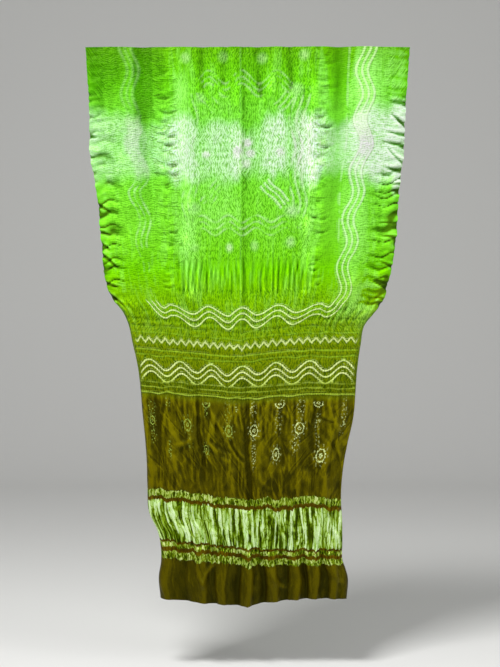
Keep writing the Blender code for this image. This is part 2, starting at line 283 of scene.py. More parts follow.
def window(value, start, end, fade):
    """1 between start and end, fading to 0 over fade outside them."""
    return step(value, start - fade, start) * until(value, end, end + fade)


def bell(value, width):
    return np.exp(-((value / width) ** 2))


def lumps(u, v, seed):
    """Smooth random values from -1 to 1, with about one lump for each whole step of u and v."""
    values = np.random.default_rng(seed).uniform(-1, 1, (256, 256))
    i, j = np.floor(u).astype(int), np.floor(v).astype(int)
    s, t = step(u - i, 0, 1), step(v - j, 0, 1)

    def at(j):
        return values[i % 256, j % 256] * (1 - s) + values[(i + 1) % 256, j % 256] * s

    return at(j) * (1 - t) + at(j + 1) * t


def uneven(across, drop, times, height, seed):
    """Smooth random values from -1 to 1: times lumps for each half of the cloth, each of that height."""
    return lumps(times * across + 60, drop / height, seed)


def sharp(u, v, seed):
    """Random ridges with sharp tops, from -1 to 1."""
    return 1 - 2 * np.abs(lumps(u, v, seed))


def on_line(x, drop, line):
    """(how far along a straight line from 0 to 1, how far beside it, its length) of each place."""
    run_x, run_drop = line.x_to - line.x_from, line.drop_to - line.drop_from
    length = np.hypot(run_x, run_drop)
    dx, dd = x - line.x_from, drop - line.drop_from
    return (dx * run_x + dd * run_drop) / length**2, (dx * run_drop - dd * run_x) / length, length


def upright_folds(across, drop):
    out = np.zeros_like(across)
    for fold in FOLDS:
        reach = window(drop, fold.drop_from, fold.drop_to, 0.03) * (1 + 0.3 * (fold.drop_from > 1.1))
        drift = 0.012 * np.sin(31 * drop + 40 * fold.across)
        swell = 1 + 0.5 * lumps(drop / 0.045 + 90 * fold.across + 200, 50 * fold.across + 60, 61)
        aside = across - fold.across - drift
        # below the tied bands a fold is steep on its right side
        width = fold.width * (1 - 0.4 * (fold.drop_from > 0.7) * np.sign(aside))
        out += fold.height * reach * swell * bell(aside, width)
    return out


def slanting_creases(x, drop):
    out = np.zeros_like(x)
    for crease in CREASES:
        t, aside, length = on_line(x, drop, crease)
        aside += 0.08 * length * np.sin(np.pi * t)
        out += crease.height * window(t, 0.1, 0.9, 0.35) * bell(aside, crease.width)
    return out


def smile(across, drop, middle, level, half, depth):
    """A trough along a line that sags in its middle."""
    t = (across - middle) / half
    below = drop - level - 0.0045 + 0.006 * t**2
    return -depth * bell(t, 0.9) * bell(below, 0.0034) * until(np.abs(t), 1, 1.6)


def channel_puffs(across, drop):
    out = sum(smile(across, drop, *place) for place in SMILES)
    for channel in CHANNELS:
        chance = np.random.default_rng(7)
        place = bell(across - channel.across, channel.half_width)
        place *= window(drop, channel.drop_from, channel.drop_to, 0.04)
        out += channel.height * place * (1 + 0.6 * uneven(across, drop, 3, channel.spacing, 51))
        at = channel.drop_from
        while at < channel.drop_to:
            at += channel.spacing * chance.uniform(0.3, 1.5)
            depth = SMILE_DEPTH * chance.uniform(0.1, 1)
            middle = channel.across + chance.uniform(-0.03, 0.03)
            half = channel.half_width * chance.uniform(0.4, 1)
            out += smile(across, drop, middle, at, half, depth)
    return out


def thin_ridges(across, drop, spacing, lean, seed, wander=0.9):
    """Thin uneven ridges that run down the cloth at a lean: 1 on them and 0 between."""
    phase = (across * half_width(drop) + lean * (drop - 0.5)) / spacing
    phase += wander * uneven(across, drop, 8, 0.055, seed)
    phase += 0.28 * wander * uneven(across, drop, 25, 0.02, seed + 1)
    strength = np.clip(0.75 + 0.6 * uneven(across, drop, 17, 0.045, seed + 2), 0, 1)
    return strength * bell(phase - np.round(phase), 0.22)


def smooth_share(across, drop):
    """1 in the few places where the wide metal band is pulled smooth between its pleats."""
    return step(lumps(14 * across + 40, drop / 0.024 + 0.3, 21), 0.45, 0.75)


def metal_pleats(across, drop):
    """The uneven pleats of the wide metal band, from -1 in a trough to 1 on a ridge."""
    ridges, crossing, cracks, cracks_back = (
        thin_ridges(across, drop, *kind)
        for kind in ((0.0115, 0.06, 23), (0.016, -0.1, 33), (0.019, -0.04, 43), (0.024, 0.08, 53))
    )
    ridges, cracks = np.maximum(ridges, crossing), np.maximum(cracks, cracks_back)
    gaps = step(lumps(across / 0.065 + 60, drop / 0.06, 27), 0.3, 0.7)
    smooth = smooth_share(across, drop)
    pleats = 1.35 * ridges - 1.1 * cracks * (1 - 0.6 * ridges) - 0.55 * gaps - 0.25
    return np.clip(pleats * (1 - 0.75 * smooth) + 0.55 * smooth, -1.1, 1.1)


def gathered_pleats(across, drop):
    """The rounded, slightly lopsided pleats of GATHERS, the comb, and the pleats of the wide metal band."""
    out = METAL_PLEAT_HEIGHT * window(drop, 1.083, 1.174, 0.01) * metal_pleats(across, drop)
    comb = window(drop, 0.515, 0.566, 0.035) * window(across, *COMB_ACROSS, 0.04)
    out += COMB_HEIGHT * comb * (thin_ridges(across, drop, 0.009, 0.04, 61, 0.45) - 0.3)
    for gather in GATHERS:
        place = window(drop, gather.drop_from, gather.drop_to, gather.fade)
        place *= window(across, gather.across_from, gather.across_to, 0.04)
        phase = (across + 1) / 2 * gather.pleats
        phase += 0.42 * np.sin(7.3 * across + 5 * drop) + 0.3 * np.sin(17.1 * across - 7 * drop)
        phase = 2 * np.pi * (phase + 0.3 * uneven(across, drop, 14, 0.05, 27))
        swell = 0.75 + 0.25 * np.sin(11 * across + 3 * gather.pleats)
        out += gather.height * place * swell * (np.sin(phase) + 0.28 * np.sin(2 * phase + 0.9))
    return out


def wedge_fold(x, drop, wedge):
    """(the share of recess, the share of raised lips beside it) of one big wedge-shaped fold."""
    t, aside, _ = on_line(x, drop, wedge)
    aside = np.abs(aside - 0.0012 * np.sin(5 * t + 700 * wedge.drop_from))
    half = 0.6 * wedge.opening * np.clip(t, 0.15, 1.2) ** 0.7
    shown = step(t, -0.1, 0.45) * until(t, 1.3, 1.6)
    inside = shown * until(aside, half - 0.0018, half + 0.0024)
    return inside, shown * bell(aside - half - 0.004, 0.0026) * (1 - inside)


def selvedge_ruffles(across, drop, x):
    """(how far out, how far sideways, the shares of recess and of raised lips) of the selvedges' folds."""
    out, recess, lips = np.zeros((3, *across.shape))
    for side in (-1, 1):
        chance = np.random.default_rng(13 + side)
        from_edge = across * side - 1
        at = -0.01
        while at < RUFFLES_END:
            at += RIPPLE_SPACING * chance.uniform(0.5, 1.5)
            length = chance.uniform(0.07, 0.2)
            opening = chance.uniform(0.0015, 0.0055)
            slope = chance.uniform(-0.02, 0.09)
            strength = chance.uniform(0.15, 0.6) * (0.4 + 0.6 * step(at, 0.1, 0.2))
            strength *= 1 - 0.6 * step(at, 0.26, 0.32)
            t = (from_edge + length) / length
            below = drop - at - slope * from_edge - 0.0015 * np.sin(9 * t + at * 90)
            half = 0.001 + opening * np.clip(t, 0, 1)
            # sharp at its upper side and soft at its lower one
            inside = step(below, -half - 0.0016, -half + 0.0016) * until(below, 0.2 * half, half + 0.004)
            inside *= strength * step(t, 0, 0.35)
            out -= RIPPLE_DEPTH * inside * (0.5 + 0.5 * np.clip(t, 0, 1))
            recess = np.maximum(recess, inside)
    for wedge in WEDGES:
        inside, beside = wedge_fold(x, drop, wedge)
        out += wedge.depth * (0.2 * beside - 0.5 * inside)
        recess = np.maximum(recess, inside)
        lips = np.maximum(lips, beside)
    edge = step(np.abs(across), 0.8, 0.97)
    small = lumps(14 * across + 60, drop / 0.007 + 2 * across, 33) + 0.7 * uneven(across, drop, 9, 0.013, 34)
    out += 0.0013 * edge * small
    # lower down they swell into puffs with sharp creases between
    puff = np.abs(lumps(4.5 * across + 60, drop / 0.017 + 2 * across + 0.25 * np.sin(40 * across), 35))
    puffed = step(np.abs(across), 0.78, 0.88) * step(drop, np.where(across < 0, 0.12, 0.24), 0.32)
    out += PUFF_HEIGHT * puffed * (np.minimum(puff, 0.5) - 0.25)
    recess = np.maximum(recess, puffed * until(puff, 0.04, 0.22))
    sideways = SCALLOP * np.sign(across) * edge * (out / RIPPLE_DEPTH - 0.3)
    return np.array((out, sideways, recess, lips)) * until(drop, RUFFLES_END - 0.04, RUFFLES_END)


def pinched_rows(drop):
    return -PINCH_DEPTH * sum(bell(drop - row, PINCH_WIDTH) for row in PINCHED_DROPS)


def middle_crease(across, drop):
    """The lengthwise crease: the left half comes up to it and the right half starts behind it."""
    right = step(across, -0.004, 0.008)
    behind = right * np.exp(-np.clip(across, 0, 1) / 0.1)
    raised = (1 - right) * np.exp(np.minimum(across, 0) / 0.05)
    return CREASE_STEP * (0.35 * raised - behind) * (1 - 0.6 * step(drop, 0.5, 0.9))


def spread(across, drop):
    """(x, how far out) of the cloth before its folds: its width, and its selvedges turned back."""
    middle = CREASE_X * until(drop, CREASE_LEAVES, CREASE_CENTRED)
    reach = np.abs(np.where(across < 0, along("left", drop), along("right", drop)) - middle)
    turn = along("turn", drop)
    # the strip past TURNED_FROM bends round through the angle turn, and its outermost point is the outline
    widest = np.sin(np.minimum(turn, np.pi / 2)) / turn
    strip = (1 - TURNED_FROM) / (TURNED_FROM + (1 - TURNED_FROM) * widest) * reach * TURNED_FROM
    flat = reach - strip * widest
    s = np.clip((np.abs(across) - TURNED_FROM) / (1 - TURNED_FROM), 0, 1)
    size = np.where(s > 0, flat + strip * np.sin(turn * s) / turn, flat * np.abs(across) / TURNED_FROM)
    return middle + np.sign(across) * size, strip * (np.cos(turn * s) - 1) / turn


def tied_share(across, drop):
    """How much of the cloth's surface is tied, from 0 in the plain stretches to 1."""
    upper = until(drop, 0.55, 0.58)
    plain_shares = (
        step(drop, 0.818, 0.835),
        0.55 * window(across, -0.55, -0.44, 0.03) * upper,
        0.65 * window(across, 0.45, 0.52, 0.03) * upper,
        0.5 * window(across, 0.55, 0.62, 0.02) * upper,
        0.45 * window(across, -0.46, -0.34, 0.03) * until(drop, 0.3, 0.4),
        0.8 * step(np.abs(across), 0.86, 0.95) * until(drop, 0.6, 0.66),
        0.75 * window(drop, 0.505, 0.56, 0.012) * window(across, -0.42, 0.42, 0.03),
    )
    return np.prod([1 - share for share in plain_shares], axis=0)


def upright_share(across, drop):
    """1 where the small puckers stand upright, as in the middle panel, and less where many lie flat."""
    return 1 - 0.65 * step(np.abs(across), 0.42, 0.62) * until(drop, 0.56, 0.62)


def crumples(x, drop):
    """The soft wrinkles of the stretches without ties: ridges that run down the cloth and lean."""
    place = window(drop, 0.842, 1.05, 0.016) + 0.4 * step(drop, 1.215, 1.235)
    tall = sharp(x / 0.012 + 1.3 * lumps(x / 0.05 + 90, drop / 0.06, 41) + 90, drop / 0.095, 42)
    fine = lumps(x / 0.006 + 90, drop / 0.045, 45)
    lean = sharp((x - 0.7 * drop) / 0.016 + 90, (drop + 0.7 * x) / 0.045, 43)
    cross = sharp((x + 0.9 * drop) / 0.022 + 90, (drop - 0.9 * x) / 0.04 + 90, 44)
    above = until(drop, 0.88, 0.95)
    wrinkles = tall + (0.5 + 0.5 * above) * fine + 0.5 * lean * step(x, -0.16, 0.04) + 0.45 * cross
    return CRUMPLE_HEIGHT * place * wrinkles


def puckers(across, drop):
    """The small puckers that the ties leave."""
    x = across * UPPER_HALF_WIDTH
    bend = 1.6 * lumps(x / 0.012 + 90, drop / 0.03 + 90, 4)
    upright = lumps(x / 0.0042 + 0.8 * np.sin(60 * drop), drop / 0.0085 + bend, 3)
    lying = lumps(x / 0.0085 + bend, drop / 0.0046 + 0.8 * np.sin(50 * x), 5)
    share = upright_share(across, drop)
    return PUCKER_HEIGHT * tied_share(across, drop) * (share * upright + (1 - share) * lying)


def hung(across, drop):
    """(the places in space of the cloth, the shares of recess and of raised lips in its selvedges)."""
    x, out = spread(across, drop)
    ruffle, sideways, recess, lips = selvedge_ruffles(across, drop, x)
    out += ruffle + 0.006 * np.cos(3.1 * across - 1.2) * np.sin(2.6 * drop + 0.4)
    out += upright_folds(across, drop) + slanting_creases(x, drop) + channel_puffs(across, drop)
    out += gathered_pleats(across, drop) + pinched_rows(drop) + middle_crease(across, drop)
    out += puckers(across, drop) + crumples(x, drop)
    left = along("lift_left", drop) * np.abs(across)
    right = along("lift_right", drop) * np.sin(np.pi * 0.62 * np.abs(across) ** 0.8)
    return np.column_stack((x + sideways, -out, np.where(across < 0, left, right) - drop)), recess, lips


# ---------------------------------------------------------------- the tied pattern

DOT_PITCH = 0.0052  # between the dots of a tied line
LINE_SPACING = 0.0118  # between the lines of the wide border's upright waves
LINE_REACH = 0.0056  # how far from a tied line its field goes
BORDER_HALF_WIDTH = 0.335  # of the cloth where the wide border runs
SLANT_HALF_WIDTH = 0.366  # where the slanting triples lie
BAND_HALF_WIDTH = 0.27  # where the dotted rows run


def nearest_line(offset, spacing):
    """Signed distance to the nearest of three parallel lines, spacing apart, the middle one at offset 0."""
    return offset - np.clip(np.round(offset / spacing), -1, 1) * spacing


def border_path(across, drop):
    """(offset, run, slope, below) of the wide border, down both sides and round into the first cross band.

    offset is the distance from its middle line, run the length along it, slope how much its waves lean,
    and below is true in the cross band.
    """
    corner = 0.036
    edge, foot = 0.246 - 0.0185 * step(drop, 0.19, 0.5), 0.6335
    x = np.abs(across) * BORDER_HALF_WIDTH
    cx, cy = edge - corner, foot - corner
    past_x, past_y = x - cx, drop - cy
    turning = (past_x > 0) & (past_y > 0)
    below = (past_x <= 0) & (past_y > past_x)

    def by_part(in_corner, in_band, at_side):
        return np.where(turning, in_corner, np.where(below, in_band, at_side))

    angle = np.arctan2(past_x, past_y)
    offset = by_part(np.hypot(past_x, past_y) - corner, drop - foot, x - edge)
    run = by_part(cx + corner * angle, x, cx + corner * np.pi / 2 + cy - drop)
    # the waves lie further apart towards the sides
    phase = np.pi * np.interp(x, (0, 0.0385, 0.0865, 0.132, 0.184, 0.226), range(6))
    lying = 0.0115 * np.cos(phase)
    upright = 0.0078 * np.cos(2 * np.pi * (drop - 0.0536) / 0.1155)
    rounding = np.maximum(lying, 0.45 * lying) * until(angle, 0.4, 1.2) + upright * step(angle, 1, 1.55)
    # on the left it lies further in, and over the white part it runs straight
    inward = 0.006 * until(drop, 0.15, 0.175) + 0.0135 * window(drop, 0.2, 0.31, 0.03)
    wave = by_part(rounding, lying, upright) + inward * (across < 0)
    # the lines lie closer at the crests than in the troughs
    offset = (offset + wave) * np.where(below, 1 + 0.08 * np.cos(phase), 1)
    return offset, run, np.where(below, 0.84 * np.abs(np.sin(phase)), 0.25), below


def wide_border(across, drop):
    """(distance, along) of the triple wave of the wide border."""
    offset, run, slope, below = border_path(across, drop)
    return nearest_line(offset, np.where(below, 0.0145, LINE_SPACING)) / np.hypot(1, slope), run


def border_bloom(across, drop):
    """How much the dots of the wide border run together into one pale band."""
    offset, left = border_path(across, drop)[0], across < 0
    beside = until(np.abs(offset), np.where(left, 0.012, 0.009), np.where(left, 0.02, 0.0145))
    bloom = np.where(left, 0.78 * window(drop, 0.175, 0.29, 0.026), window(drop, 0.165, 0.245, 0.032))
    faint = 0.34 * left * bell(nearest_line(offset, LINE_SPACING), 0.003) * until(drop, 0.12, 0.18)
    return np.maximum(0.85 * beside * bloom, faint)


def cross_wave(across, drop):
    """(distance, along) of a triple wave from selvedge to selvedge, with a crest at the middle crease."""
    level, period, height = 0.7715, 0.275, 0.0115
    phase = 2 * np.pi * across / period
    offset = drop - level + height * (np.cos(phase) + 0.12 * bell(across, 0.03))
    slope = 2 * np.pi * height / (period * LOWER_HALF_WIDTH) * np.abs(np.sin(phase))
    return nearest_line(offset, 0.0136) / np.hypot(1, slope), across * LOWER_HALF_WIDTH


def zigzag(across, drop):
    """(distance, along) of a zigzag from selvedge to selvedge."""
    level, period, height = 0.701, 0.0695, 0.0062
    phase = across / period
    offset = drop - level + height * (1 - 4 * np.abs(phase - np.floor(phase) - 0.5))
    return offset / 1.7, across * LOWER_HALF_WIDTH


def panel_frame(across, drop):
    """(distance, along, how whole it is) of the triple wave that frames the middle panel's medallion."""
    x = np.abs(across) * UPPER_HALF_WIDTH
    side = 0.347 * UPPER_HALF_WIDTH
    top, foot = 0.085, 0.416
    down = (drop - (top + foot) / 2) / ((foot - top) / 2)
    wide = x / side
    upright = wide > np.abs(down)
    foot_phase, top_phase = 2 * np.pi * x / 0.0665, 2 * np.pi * x / 0.076

    def by_part(at_side, at_foot, at_top):
        return np.where(upright, at_side, np.where(down > 0, at_foot, at_top))

    offset = by_part(
        x - side - 0.007 * np.cos(2 * np.pi * (drop - 0.236) / 0.128),
        drop - foot - 0.0085 * np.cos(foot_phase),
        top - drop - 0.015 * np.cos(top_phase),
    )
    slope = by_part(0.2, 0.8 * np.abs(np.sin(foot_phase)), 1.24 * np.abs(np.sin(top_phase)))
    whole = 1 - 0.8 * step(np.minimum(wide, np.abs(down)), 0.8, 0.92)
    return nearest_line(offset, 0.015) / np.hypot(1, slope), np.where(upright, drop, x), whole


# Short slanting triples of lines between the middle panel's flower and its corners.
SLANTS = table("x_from drop_from x_to drop_to strength", (
    (0.038, 0.318, 0.086, 0.366, 0.75),
    (0.066, 0.142, 0.094, 0.112, 0.4),
    (-0.066, 0.318, -0.108, 0.366, 0.35),
    (-0.076, 0.146, -0.112, 0.1, 0.3),
))


def slanting_triple(across, drop, slant):
    """(distance, along, strength) of one slanting triple."""
    t, aside, length = on_line(across * SLANT_HALF_WIDTH + CREASE_X, drop, slant)
    run = t * length
    aside += 0.0016 * np.sin(run / 0.009)
    shown = slant.strength * window(run, 0, length, 0.004) * window(aside, -0.015, 0.015, 0.002)
    return nearest_line(aside, 0.0115), run, shown


DOTTED_ROWS = table("drop strength sway", (
    (0.669, 0.3, 0.0026),
    (0.683, 0.42, 0.0026),
    (0.724, 0.62, 0.0026),
    (0.737, 0.66, 0.003),
    (0.797, 0.38, 0.003),
    (0.808, 0.55, 0.003),
    (0.822, 0.85, 0.0048),
))


def between_lines(distance):
    """1 where the nearest line changes to the next one within a square of the sheet."""
    distance = distance.reshape(ROWS + 1, COLUMNS + 1)
    near = np.where(np.abs(distance) < LINE_REACH, distance, np.nan)
    found = np.zeros(near.shape)
    for marked, values in ((found, near), (found.T, near.T)):
        jump = np.abs(np.diff(values, axis=0)) > 0.0058
        marked[1:][jump] = 1
        marked[:-1][jump] = 1
    return found.ravel()


def line_figures(across, drop):
    """(distance, along, strength, how near it has to be) of each figure of tied lines in turn."""
    wobble = 0.0007 * lumps(across * 30, drop * 60, 11)
    for row in DOTTED_ROWS:
        sway = row.sway * lumps(11 * across + 60 + 30 * row.drop, 20 * row.drop, 12)
        strength = row.strength * until(np.abs(across), 0.93, 0.97)
        yield drop - row.drop + wobble + sway, across * BAND_HALF_WIDTH, strength, 0.0045
    distance, run, whole = panel_frame(across, drop)
    strength = np.where(across > 0, 0.52 - 0.2 * (np.abs(across) < 0.3), 0.28)
    strength += 0.1 * step(drop, 0.38, 0.4)
    yield distance + wobble, run, whole * strength, LINE_REACH
    for slant in SLANTS:
        distance, run, strength = slanting_triple(across, drop, slant)
        yield distance + wobble, run, strength, LINE_REACH
    distance, run = wide_border(across, drop)
    strength = np.where(across < 0, 0.16 + 0.25 * step(drop, 0.27, 0.34), 0.8)
    strength = np.maximum(strength, step(drop, 0.585, 0.605))
    # the left border nearly fades away between its last upright waves and the cross band
    strength *= 1 - 0.75 * window(across, -0.8, -0.6, 0.02) * window(drop, 0.475, 0.585, 0.02)
    yield distance + wobble, run, strength, LINE_REACH
    ends = until(np.abs(across), 0.9, 0.94)
    distance, run = cross_wave(across, drop)
    yield distance + wobble, run, ends, LINE_REACH
    distance, run = zigzag(across, drop)
    yield distance + 1.5 * wobble, run, 0.8 * ends, 0.004
    # a single line down beside the right border
    distance = (np.abs(across) - 0.632 + 0.018 * step(drop, 0.2, 0.32)) * UPPER_HALF_WIDTH
    yield distance + wobble, drop, 0.3 * until(drop, 0.45, 0.5) * (across > 0), LINE_REACH


def tied_lines(across, drop):
    """The nearest tied line of each place, as (signed distance, dots along it, strength)."""
    nearest, dots, strength = np.zeros((3, *across.shape))
    nearest += 9
    for distance, run, shown, reach in line_figures(across, drop):
        closer = (np.abs(distance) < np.minimum(np.abs(nearest), reach)) & (shown > 0.02)
        nearest = np.where(closer, distance, nearest)
        dots = np.where(closer, run / DOT_PITCH, dots)
        strength = np.where(closer, shown, strength)
    ends = until(np.abs(nearest), 0.004, 0.0052) * (1 - between_lines(nearest))
    return np.where(strength > 0, nearest, 0.006), dots, strength * ends


# Rings with a dot inside and short rays around. size is half their height and lean their width over it.
# A strength below 0 leaves only the lower half of the ring, as a cup.
RINGS = table("across drop size lean strength", (
    # upper row of the wide ground
    (-0.852, 0.888, 0.011, 0.55, 0.8),
    (-0.524, 0.892, 0.015, 0.56, 0.75),
    (-0.14, 0.898, 0.014, 0.6, 0.8),
    (0.089, 0.897, 0.014, 0.62, 1),
    (0.485, 0.897, 0.014, 0.72, 1),
    # lower row
    (-0.362, 0.948, 0.0125, 0.42, 0.85),
    (0.287, 0.957, 0.0155, 0.48, 1),
    (0.707, 0.963, 0.0175, 0.62, 1),
    # cups right below the tied bands
    (-0.34, 0.838, 0.0105, 0.85, -0.8),
    (0.311, 0.84, 0.01, 0.95, -0.95),
    (0.637, 0.84, 0.0105, 0.95, -0.9),
    (0.985, 0.846, 0.009, 0.6, -0.6),
))

# Patches of scattered dots: where, how wide and tall, and how much the dots show.
PATCHES = table("across drop half_width half_height strength", (
    # clusters of the middle panel
    (-0.03, 0.246, 0.013, 0.019, 1),
    (0.052, 0.249, 0.013, 0.013, 1),
    (0.036, 0.224, 0.01, 0.013, 1),
    (0.03, 0.272, 0.011, 0.014, 0.95),
    (-0.232, 0.251, 0.012, 0.012, 0.9),
    (0.232, 0.246, 0.013, 0.013, 0.85),
    (0.33, 0.1, 0.014, 0.016, 0.62),
    (0.315, 0.382, 0.017, 0.017, 0.75),
    (-0.32, 0.376, 0.015, 0.015, 0.5),
    (-0.268, 0.12, 0.012, 0.013, 0.4),
    # rows of small clusters above and below it
    (-0.358, 0.026, 0.011, 0.013, 0.62),
    (-0.12, 0.023, 0.012, 0.013, 0.38),
    (0.122, 0.027, 0.011, 0.013, 0.52),
    (0.367, 0.019, 0.011, 0.014, 0.68),
    (-0.33, 0.468, 0.011, 0.01, 0.3),
    (-0.087, 0.468, 0.009, 0.012, 0.9),
    (0.082, 0.464, 0.009, 0.013, 0.62),
    (0.31, 0.457, 0.011, 0.014, 0.72),
    # trails that fall down the wide ground, between the rings
    (-0.852, 0.86, 0.009, 0.02, 0.55),
    (-0.852, 0.925, 0.007, 0.022, 0.55),
    (-0.7, 0.842, 0.006, 0.014, 0.75),
    (-0.705, 0.953, 0.005, 0.024, 0.75),
    (-0.51, 0.935, 0.006, 0.02, 0.3),
    (-0.345, 0.86, 0.005, 0.012, 0.7),
    (-0.14, 0.855, 0.008, 0.028, 0.45),
    (-0.06, 0.845, 0.004, 0.01, 0.8),
    (0.085, 0.846, 0.006, 0.016, 0.85),
    (0.11, 0.848, 0.004, 0.01, 0.6),
    (0.08, 0.95, 0.005, 0.04, 0.6),
    (0.3, 0.882, 0.007, 0.028, 0.6),
    (0.34, 0.835, 0.005, 0.01, 0.7),
    (0.49, 0.848, 0.008, 0.024, 0.65),
    (0.46, 0.932, 0.01, 0.026, 0.65),
    (0.64, 0.885, 0.006, 0.026, 0.45),
    (0.66, 0.925, 0.005, 0.012, 0.8),
    (0.86, 0.87, 0.006, 0.04, 0.8),
))


def tied_rings(across, drop):
    """The nearest ring's (sideways, down) in its radii, and its strength, below 0 where it is a cup."""
    found = np.zeros((3, *across.shape))
    found[:2] = 9
    nearest = 2.6
    for ring in RINGS:
        sideways = (across - ring.across) * half_width(drop) / (ring.size * ring.lean)
        down = (drop - ring.drop) / ring.size
        radius = np.hypot(sideways, down)
        shown = ring.strength * until(radius, 2, 2.4)
        found = np.where(radius < nearest, (sideways, down, shown), found)
        nearest = np.minimum(nearest, radius)
    return found


def scattered(across, drop):
    """How much scattered dots show."""
    shown = border_bloom(across, drop)
    for patch in PATCHES:
        sideways = (across - patch.across) * half_width(drop) / patch.half_width
        radius = np.hypot(sideways, (drop - patch.drop) / patch.half_height)
        shown = np.maximum(shown, patch.strength * until(radius, 0.35, 1.4))
    return shown


# ---------------------------------------------------------------- the dye, with painted shade and highlights

# How pale the cloth lies, from its green towards white: how far at each place across, and over what drops.
WHITES = table("across share drop_from drop_to", (
    (-1, 0.54, 0.15, 0.32),
    (-0.82, 0.36, 0.165, 0.3),
    (-0.7, 0.36, 0.175, 0.3),
    (-0.62, 0.26, 0.19, 0.29),
    (-0.51, 0.42, 0.18, 0.3),
    (-0.44, 0.8, 0.16, 0.32),
    (-0.33, 0.8, 0.165, 0.31),
    (-0.27, 0.34, 0.195, 0.3),
    (-0.2, 0.56, 0.18, 0.31),
    (-0.1, 0.56, 0.18, 0.31),
    (-0.02, 0.92, 0.185, 0.31),
    (0.03, 0.35, 0.205, 0.29),
    (0.1, 0.32, 0.195, 0.3),
    (0.15, 0.72, 0.165, 0.3),
    (0.24, 0.8, 0.165, 0.3),
    (0.29, 0.36, 0.185, 0.29),
    (0.35, 0.85, 0.165, 0.31),
    (0.43, 1.05, 0.16, 0.32),
    (0.5, 0.6, 0.175, 0.3),
    (0.58, 0.35, 0.19, 0.29),
    (0.66, 0.8, 0.175, 0.3),
    (0.74, 1, 0.145, 0.31),
    (0.86, 1, 0.145, 0.31),
    (1, 1.1, 0.13, 0.33),
))


def white_share(across, drop):
    """How far the cloth's colour goes from green towards white."""
    stops, *columns = np.array(WHITES).T
    share, start, end = (np.interp(across, stops, values) for values in columns)
    start += 0.012 * uneven(across, drop, 26, 0.05, 71)
    end += 0.014 * uneven(across, drop, 26, 0.05, 72)
    return share * window(drop, start + 0.02, end - 0.024, 0.046)


# Streaks and fields where the green lies darker, or lighter where depth is negative: partly darker and
# lighter dye, partly painted shade in the troughs of folds and painted highlights on their ridges.
TONES_AND_PAINTED_SHADES = table("across across_width drop drop_width depth", (
    # sunk channels, darker dye with painted shade
    (-0.64, 0.05, 0.06, 0.13, 1),
    (-0.53, 0.06, 0.04, 0.08, 0.8),
    (-0.64, 0.04, 0.25, 0.1, 0.4),
    (0.58, 0.055, 0.06, 0.12, 0.75),
    (0.575, 0.045, 0.26, 0.16, 0.15),
    (0.555, 0.05, 0.43, 0.12, 0.25),
    # streaks that fall from the top edge, most of them painted shade in the troughs of its short folds
    (-0.245, 0.035, 0.02, 0.05, 0.55),
    (-0.11, 0.022, 0.02, 0.05, 0.45),
    (0.105, 0.035, 0.025, 0.06, 0.55),
    (0.285, 0.028, 0.02, 0.055, 0.55),
    (0.01, 0.1, 0.03, 0.06, 0.25),
    (-0.94, 0.09, 0.06, 0.1, 0.95),
    (-0.8, 0.08, 0.04, 0.09, 0.75),
    # painted shade beside the middle crease, where the right half lies behind the left
    (0.035, 0.04, 0.15, 0.12, 0.3),
    (0.03, 0.04, 0.39, 0.14, 0.35),
    # lighter stretches, many of them painted highlights on the ridges beside the channels
    (-0.39, 0.075, 0.12, 0.1, -0.32),
    (-0.37, 0.075, 0.43, 0.11, -0.55),
    (0.43, 0.06, 0.42, 0.12, -0.35),
    (0.49, 0.05, 0.1, 0.06, -0.45),
    (0.74, 0.11, 0.1, 0.1, -0.85),
    (0.72, 0.09, 0.42, 0.12, -0.5),
    (0, 0.33, 0.13, 0.07, -0.08),
    (-0.12, 0.18, 0.37, 0.06, -0.3),
    (0.85, 0.14, 0.6, 0.055, -0.5),
    (0.94, 0.07, 0.08, 0.07, -0.35),
    (-0.88, 0.08, 0.6, 0.045, -0.05),
    # painted shade in the hollows and painted highlights on the shining places of the wide ground
    (-0.83, 0.04, 0.9, 0.06, 0.7),
    (0.02, 0.035, 0.92, 0.12, 0.6),
    (-0.42, 0.03, 1, 0.03, 0.5),
    (-0.55, 0.05, 0.98, 0.025, 0.4),
    (-0.68, 0.07, 0.98, 0.03, -0.8),
    (-0.7, 0.05, 0.885, 0.02, -0.5),
    (-0.5, 0.04, 0.85, 0.015, -0.6),
    (-0.46, 0.03, 0.885, 0.02, -0.6),
    (-0.1, 0.03, 0.87, 0.02, -0.6),
    (0.19, 0.05, 0.875, 0.02, -0.6),
    (0.15, 0.06, 0.955, 0.04, -0.45),
    (0.42, 0.04, 0.885, 0.015, -0.5),
    (0.89, 0.02, 0.865, 0.03, -0.8),
    (0.95, 0.02, 0.91, 0.025, -0.8),
    # and of the plain end
    (-0.18, 0.08, 1.25, 0.04, 0.6),
    (0.39, 0.018, 1.26, 0.04, 0.7),
    (0.71, 0.015, 1.26, 0.04, 0.7),
    (-0.83, 0.05, 1.225, 0.02, -0.5),
    (-0.53, 0.03, 1.24, 0.015, -0.8),
    (-0.47, 0.045, 1.27, 0.01, -0.8),
    (-0.32, 0.02, 1.24, 0.03, -0.7),
    (0.055, 0.03, 1.268, 0.016, -1),
    (0.275, 0.045, 1.272, 0.014, -1),
    (0.5, 0.045, 1.27, 0.018, -0.9),
    (0.62, 0.04, 1.265, 0.018, -0.8),
    (0.86, 0.05, 1.255, 0.025, -1),
))


def tone_and_painted_shade(across, drop):
    """How much darker the green lies, or lighter where it is negative: darker and lighter dye, with painted
    shade and painted highlights.
    """
    # the floors of the sunk channels lie flat and dark down from the top edge, darker dye with painted shade
    out = 0.1 * window(across, 0.555, 0.632, 0.014) * until(drop, 0.08, 0.2)
    out += 0.75 * window(across, -0.68, -0.585, 0.018) * until(drop, 0.1, 0.22)
    for spot in TONES_AND_PAINTED_SHADES:
        sideways = bell(across - spot.across, spot.across_width)
        out += spot.depth * sideways * bell(drop - spot.drop, spot.drop_width)
    return out


# ---------------------------------------------------------------- the sheet


def add_object(name, data):
    thing = bpy.data.objects.new(name, data)
    bpy.context.scene.collection.objects.link(thing)
    return thing


